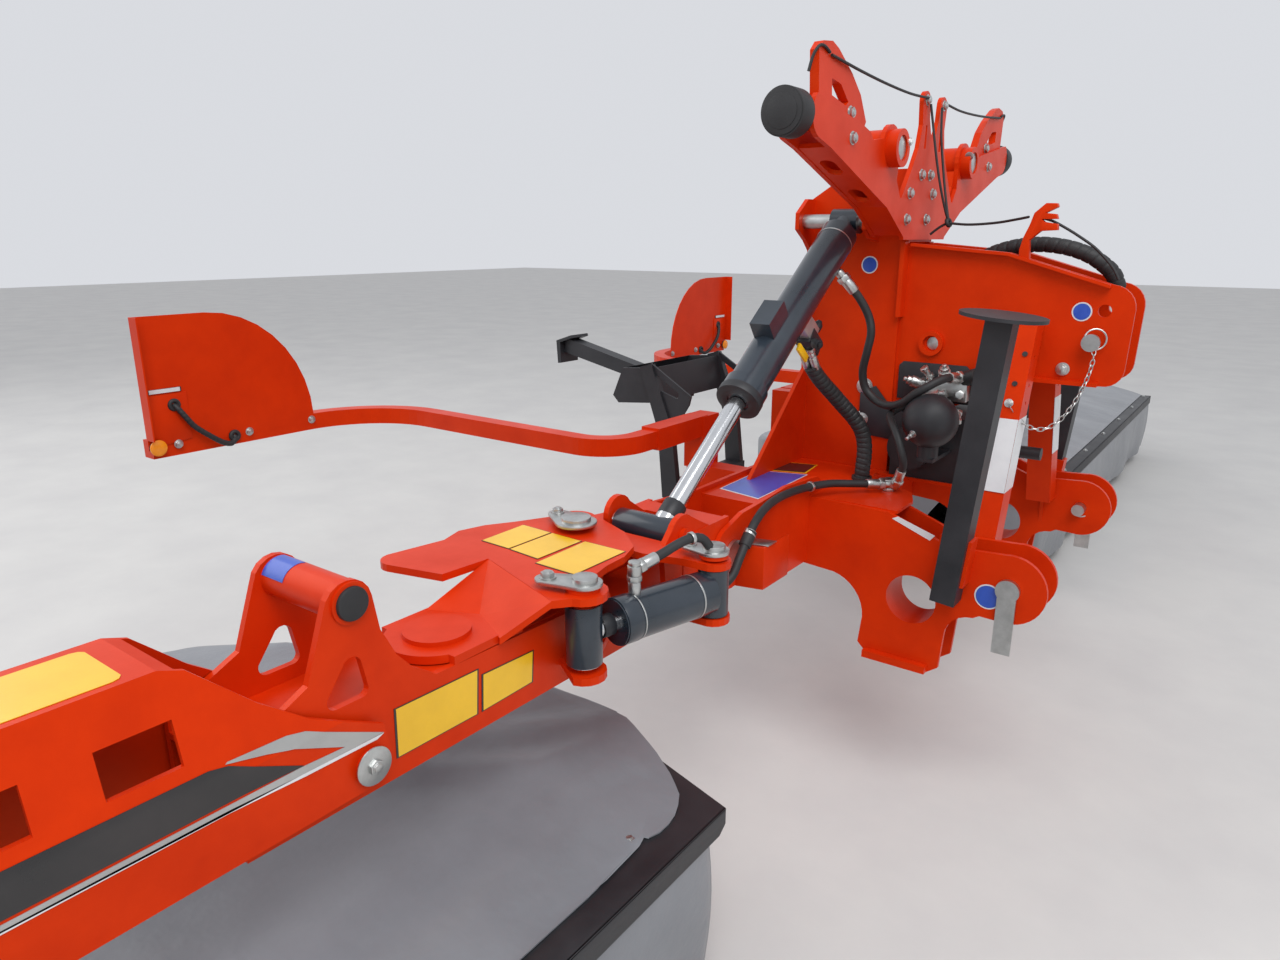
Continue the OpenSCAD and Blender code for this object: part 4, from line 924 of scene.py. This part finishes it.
# %% Pin ring and chain
pin_ring = wire_ring(0.026, 0.0022, spot(0.052, -0.098, 0.57), (1.45, 0, 0.35))
finished(pin_ring, "pin_ring", zinc, "frame", edge=0)
chain_line = [(0.052, -0.104, 0.546), (0.056, -0.112, 0.52), (0.05, -0.122, 0.475),
    (0.036, -0.135, 0.425), (0.016, -0.15, 0.382), (-0.008, -0.166, 0.352), (-0.036, -0.184, 0.341),
    (-0.064, -0.204, 0.352), (-0.085, -0.222, 0.375), (-0.101, -0.231, 0.399)]
chain_path = flow([spot(*p) for p in chain_line], 74)
links = []
for n, place in enumerate(chain_path[:-1]):
    ahead = chain_path[n + 1] - place
    link_piece = wire_ring(0.0052, 0.0013, around=14, corners=6)
    link_piece.data.transform(Matrix.Diagonal((1.75, 1, 1, 1)))
    twist = Matrix.Rotation(pi / 2 * (n % 2), 4, "X")
    aim = ahead.to_track_quat("X", "Z").to_matrix().to_4x4()
    middle = (place + chain_path[n + 1]) / 2
    link_piece.data.transform(Matrix.Translation(middle) @ aim @ twist)
    links.append(link_piece)
finished(joined(links), "pin_chain", zinc, "frame", edge=0)
print("chain links:", len(links))

# %% [markdown]
# ## Valves and fittings
# The lines meet at a valve block in front of the gearbox. On the real machine it is a
# drilled block with screwed cartridges. Each cartridge here is a stack of drums and
# hexagons along one axis, given as short rows of size and length, bevelled at the rims.


# %% A turned fitting made of drums along an axis
def fitting(name, body, place, axis, drums, finish=zinc, edge=None):
    """Drums of (radius, length, corners), one after the other along an axis."""
    axis, made, run = Vector(axis).normalized(), [], 0.0
    for radius, length, corners in drums:
        made.append(drum(radius, length, place + axis * (run + length / 2), aimed(axis).to_euler(),
            corners))
        run += length
    finished(joined(made), name, finish, body, edge=edge or min(d[0] for d in drums) * 0.12)


def frame_fittings(rows):
    """A fitting on each side of the frame for every row, as fitting takes them."""
    for word, side in wings:
        for name, place, (ax, ay, az), *look in rows:
            fitting(f"{name}_{word}", "frame", spot(*place, side), (ax, ay * side, az), *look)


def block(name, body, middle, size, finish, turn=(0, 0, 0), edge=0.003):
    """A bevelled block at its middle, with its size and turn."""
    bpy.ops.object.select_all(action="DESELECT")
    bpy.ops.mesh.primitive_cube_add(size=1, location=middle, rotation=turn)
    bpy.context.object.scale = size
    finished(bpy.context.object, name, finish, body, edge=edge)


# %% The valve block with its cartridges
solenoid = [(0.012, 0.008, 24), (0.021, 0.046, 36), (0.015, 0.005, 24), (0.009, 0.008, 6)]
cartridge = [(0.02, 0.01, 6), (0.0165, 0.026, 28), (0.0125, 0.012, 28), (0.007, 0.01, 6)]
nipple = [(0.013, 0.01, 6), (0.009, 0.02, 24), (0.0125, 0.01, 6)]
for word, side in wings:
    carrier = plate(level(side, "y", 0.0835, [(-0.452, 0.366), (-0.236, 0.366), (-0.236, 0.452),
        (-0.262, 0.474), (-0.44, 0.474), (-0.452, 0.462)]), (0, 0.005 * side, 0))
    finished(carrier, f"valve_plate_{word}", dark_paint, "frame", edge=0.001)
    block(f"valve_block_{word}", "frame", spot(-0.3, 0.108, 0.405, side), (0.115, 0.042, 0.052), zinc)
valve_parts = [
    ("valve_cap", (-0.372, 0.1, 0.415), (-0.8, 0.42, 0.25), cartridge),
    ("valve_plug", (-0.35, 0.106, 0.436), (-0.45, 0.5, 0.75), nipple),
    ("valve_ring", (-0.312, 0.108, 0.432), (0.1, 0.55, 0.83), cartridge),
    ("valve_screw", (-0.262, 0.128, 0.398), (0.3, 0.9, 0.2), nipple),
    ("valve_elbow", (-0.262, 0.124, 0.352), (0.25, 0.75, -0.6), nipple),
    ("valve_neck", (-0.3, 0.128, 0.398), (-0.6, 0.75, 0.0), nipple),
    ("valve_coil", (-0.262, 0.112, 0.44), (0.75, 0.35, 0.3), solenoid, rubber)]
frame_fittings(valve_parts)
print("valve parts a side:", len(valve_parts) + 2)

# %% Deck fittings, mast discs and the accumulator's holder
mast_cap = [(0.025, 0.004, 40), (0.019, 0.003, 40), (0.01, 0.003, 32)]
frame_fittings([
    ("deck_post", (-0.38, 0.29, 0.142), UP, [(0.017, 0.01, 6), (0.012, 0.014, 28), (0.016, 0.012, 6)]),
    ("mast_cap_upper", (-0.549, 0.0935, 0.391), (0, 1, 0), mast_cap),
    ("mast_cap_lower", (-0.549, 0.0935, 0.293), (0, 1, 0), mast_cap)])
for word, side in wings:
    block(f"deck_block_{word}", "frame", spot(-0.381, 0.298, 0.166, side), (0.046, 0.028, 0.024), zinc,
        turn=(0, 0, -0.6 * side))
holder = plate([spot(x, 0.094, z, -1) for x, z in [(-0.56, 0.372), (-0.56, 0.318), (-0.52, 0.246),
    (-0.436, 0.24), (-0.436, 0.318), (-0.47, 0.345), (-0.515, 0.396)]], (0, -0.006, 0))
finished(holder, "accumulator_holder", dark_paint, "frame", edge=0.001)
fitting("accumulator_nipple", "frame", spot(-0.321, 0.297, 0.314, -1), (-0.25, -0.9, -0.35),
    [(0.01, 0.006, 24), (0.006, 0.014, 20), (0.0045, 0.014, 16)])
print("deck and mast fittings done")

# %% The check valve below each lift cylinder
for word, side in wings:
    barrel = f"lift_barrel_{word}"
    along_barrel = Vector((0, 0.803 * side, -0.596))
    to_barrel = Vector((0, 0.596 * side, 0.803))
    middle = spot(-0.606, 0.372, 0.5453, side)
    across = along_barrel.cross(to_barrel).normalized()
    tilt = Matrix((across, to_barrel, along_barrel)).transposed().to_euler()
    block(f"check_valve_{word}", barrel, middle, (0.048, 0.046, 0.074), dark_paint, tilt)
    block(f"check_seat_{word}", barrel, middle + to_barrel * 0.047, (0.044, 0.052, 0.086), silver_film,
        tilt)
    front = middle + Vector((0.024, 0, 0)) + to_barrel * 0.02
    fitting(f"check_piston_{word}", barrel, middle - along_barrel * 0.036, -along_barrel,
        [(0.01, 0.012, 6), (0.014, 0.02, 28), (0.009, 0.012, 6)], dark_paint)
    fitting(f"check_knob_{word}", barrel, front + along_barrel * 0.02,
        Vector((0.9, 0, 0)) + along_barrel * 0.4, [(0.01, 0.01, 6), (0.014, 0.018, 28),
        (0.008, 0.008, 6)], dark_paint)
    block(f"check_lever_{word}", barrel, front + to_barrel * 0.012 + along_barrel * 0.078,
        (0.008, 0.022, 0.066), yellow_film, tilt, edge=0.002)
    # The two steel ends of its hoses, and the elbow on the break-away cylinder
    for part, shift in (("near", 0.013), ("far", -0.013)):
        fitting(f"sleeve_pipe_{part}_{word}", barrel, spot(-0.606 + shift, 0.386, 0.528, side),
            (0.1, -0.49 * side, -0.86), [(0.0125, 0.012, 6), (0.0095, 0.014, 24), (0.0115, 0.04, 28)])
    fitting(f"safety_elbow_{word}", f"safety_barrel_{word}", spot(-0.477, 1.331, 0.16, side), UP,
        [(0.0125, 0.03, 32), (0.015, 0.012, 6), (0.0138, 0.02, 32), (0.012, 0.008, 32)])
print("check valves: 2")

# %% [markdown]
# ## Small parts at the yoke and the forks
# The yoke's ends carry rubber caps with bevelled rims. The hose hook stands on the box
# as a bent flat bar with open notches: its outline is pushed out by the bar's width.

# %% Caps of the yoke, rings of the fork pins and the hose hook
frame_fittings([
    ("yoke_cap", (-0.4857, 0.7495, 1.075), (0, 1, 0), [(0.0512, 0.052, 64), (0.0475, 0.0025, 64),
     (0.036, 0.0015, 48)], rubber, 0.0009),
    ("yoke_neck", (-0.4857, 0.7125, 1.075), (0, 1, 0), [(0.0325, 0.036, 40)], rubber),
    ("boss_plug", (-0.436, 0.296, 1.035), FRONT, [(0.0306, 0.022, 48), (0.023, 0.001, 40)]),
    ("box_plug", (-0.361, 0.0822, 0.53), (0, 1, 0), [(0.018, 0.002, 40)])])
for word, side in wings:
    linch_ring = wire_ring(0.022, 0.0022, spot(0.004, 0.361, -0.006, side), (1.2, 0.2, 0.1))
    finished(linch_ring, f"linch_ring_{word}", zinc, "frame", edge=0)
hook_line = [(-0.152, 0.76), (-0.127, 0.76), (-0.132, 0.812), (-0.107, 0.834), (-0.067, 0.836),
    (-0.069, 0.851), (-0.1, 0.856), (-0.108, 0.863), (-0.07, 0.863), (-0.074, 0.875), (-0.1, 0.878),
    (-0.072, 0.892), (-0.075, 0.901), (-0.101, 0.902), (-0.127, 0.878), (-0.135, 0.849), (-0.147, 0.819),
    (-0.154, 0.787)]
hook = plate([spot(x, 0.104, z, -1) for x, z in hook_line], (0, 0.02, 0))
finished(hook, "hose_hook", orange_paint, "frame", edge=0.0012)
print("hook points:", len(hook_line))

# %% [markdown]
# An open box of bent sheet guards each fold pin. A zinc strip lies on it and holds the
# clamp of the fold hose.

# %% Boxes at the fold pins and their clamps
for word, side in wings:
    bent = plate(level(side, "z", 0.008, [(-0.533, 0.853), (-0.466, 0.838), (-0.466, 0.712),
        (-0.471, 0.712), (-0.471, 0.833), (-0.533, 0.847)]), (0, 0, 0.106))
    base = plate(level(side, "z", 0.008, [(-0.533, 0.848), (-0.47, 0.834), (-0.47, 0.712),
        (-0.533, 0.712)]), (0, 0, 0.004))
    finished(joined([bent, base]), f"pin_box_{word}", orange_paint, "frame", edge=0.0008)
    strip = plate(level(side, "z", 0.1145, [(-0.536, 0.85), (-0.536, 0.806), (-0.462, 0.784),
        (-0.462, 0.826)]), (0, 0, 0.004))
    finished(strip, f"clamp_strip_{word}", zinc, "frame", edge=0.0008)
    collar(f"clamp_ring_{word}", "frame", spot(-0.5008, 0.848, 0.146, side), (-0.03, -0.75 * side, 0.62),
        0.0125, 0.012, zinc)
    collar(f"clamp_sleeve_{word}", "frame", spot(-0.5005, 0.858, 0.136, side), (0.02, -0.68 * side, 0.7),
        0.0105, 0.04, rubber, wall=0.0045)
    collar(f"hose_band_{word}", "frame", spot(-0.514, 0.505, 0.18, side), (0.19, -0.98 * side, 0), 0.0108,
        0.01, zinc)
print("boxes at the fold pins: 2")

# %% [markdown]
# ## Guards
# Each guard has a plate for its lamp, a reflector, bolts, and a short loom from a rubber
# ring in the panel to one in the arm.

# %% Lamps, reflectors, looms and bolts of the guards
frame_fittings([
    ("amber_seat", (-2.003, 1.486, 0.262), FRONT, [(0.02, 0.01, 36)], rubber),
    ("amber_lens", (-1.993, 1.486, 0.262), FRONT, [(0.0225, 0.005, 40),
     (0.0195, 0.002, 40)], amber_lens)])
for word, side in wings:
    carrier = plate(level(side, "x", -2.0045, [(1.494, 0.262), (1.386, 0.272), (1.386, 0.404),
        (1.494, 0.404)]), (0.004, 0, 0))
    finished(carrier, f"lamp_plate_{word}", orange_paint, "frame", edge=0.001)
    film(f"lamp_strip_{word}", white_film, "frame", level(side, "x", -2.0045,
        [(1.49, 0.408), (1.398, 0.408), (1.398, 0.42), (1.49, 0.42)]), (3, 0, 0), rim=black_film,
        inset=0.003)
    for part, y, z in (("upper", 1.424, 0.372), ("lower", 1.263, 0.256)):
        loom_ring = wire_ring(0.012, 0.006, spot(-2.001, y, z, side), (0, pi / 2, 0), 32, 12)
        finished(loom_ring, f"loom_ring_{part}_{word}", rubber, "frame", edge=0)
    hose(f"lamp_loom_{word}", [(-2.004, 1.424, 0.372), (-1.992, 1.418, 0.36), (-1.984, 1.404, 0.335),
        (-1.981, 1.386, 0.308), (-1.98, 1.352, 0.278), (-1.983, 1.314, 0.25), (-1.99, 1.284, 0.238),
        (-1.998, 1.266, 0.246), (-2.004, 1.263, 0.256)], 0.008, side, "frame", groove=0.2,
        ends=(None, None), pitch=0.012)
    rows = [(-2.0005, 1.427, 0.262), (-2.0045, 1.215, 0.26), (-2.0045, 1.006, 0.262)]
    copies(bolt, f"guard_bolts_{word}", "frame", [(spot(*p, side), FRONT, 0.01) for p in rows])
bpy.data.objects.remove(bolt)
print("guards dressed: 2")

# %% White wrap round each brace, and the dark plugs of its holes
def brace(z, way):
    """How far out the sloped brace's skin is: way 1 is its outer face, -1 its inner."""
    foot, slope, half = 0.3205, 0.3469, 0.0394
    return foot - slope * (z - 0.02) + way * half


for word, side in wings:
    for n, (x, z) in enumerate([(-0.0914, 0.531), (-0.1018, 0.457)]):
        film(f"brace_plug_{n}_{word}", black_film, "frame", disc_corners(spot(x, brace(z, 1), z, side),
            FRONT, (0, -0.33 * side, 0.94), 0.0068), (0, 0.94 * side, 0.33))
    film(f"brace_wrap_{word}", white_film, "frame", [spot(x, brace(z, 1), z, side) for x, z
        in [(-0.1445, 0.19), (-0.0755, 0.19), (-0.0755, 0.37), (-0.1445, 0.37)]], (0, 0.94 * side, 0.33))
    film(f"brace_wrap_front_{word}", white_film, "frame", [spot(-0.0748, brace(z, way), z, side)
        for z, way in [(0.19, -1), (0.19, 1), (0.37, 1), (0.37, -1)]], FRONT)
print("brace wraps: 2")

# %% [markdown]
# The floor is plain and pale. Two large soft lamps and a pale sky light the object at a
# plain level, so a colour renders about as it is written.

# %% Floor and lights
bpy.ops.object.select_all(action="DESELECT")
bpy.ops.mesh.primitive_plane_add(size=60, location=(0, 0, -0.001))
floor = bpy.context.object
floor.name = "floor"
floor.data.materials.append(metal_finish("floor", (0.62, 0.61, 0.59), (0.56, 0.55, 0.54), scale=2,
    rough=(0.8, 0.95), bump=0.02))

world = bpy.data.worlds.new("sky")
scene.world = world
world.use_nodes = True
world.node_tree.nodes["Background"].inputs["Color"].default_value = (0.93, 0.95, 1, 1)
world.node_tree.nodes["Background"].inputs["Strength"].default_value = 0.75


def add_lamp(name, place, size, watts):
    """A large soft lamp that looks at the middle of the machine."""
    lamp_data = bpy.data.lights.new(name, "AREA")
    lamp_data.size = size
    lamp_data.energy = watts
    lamp = bpy.data.objects.new(name, lamp_data)
    lamp.location = place
    lamp.rotation_euler = (-Vector(place)).to_track_quat("-Z", "Y").to_euler()
    scene.collection.objects.link(lamp)


add_lamp("key_lamp", (4, -4, 7), 5, 420)
add_lamp("fill_lamp", (-6, -3, 5), 6, 160)
scene.view_settings.view_transform = "Standard"
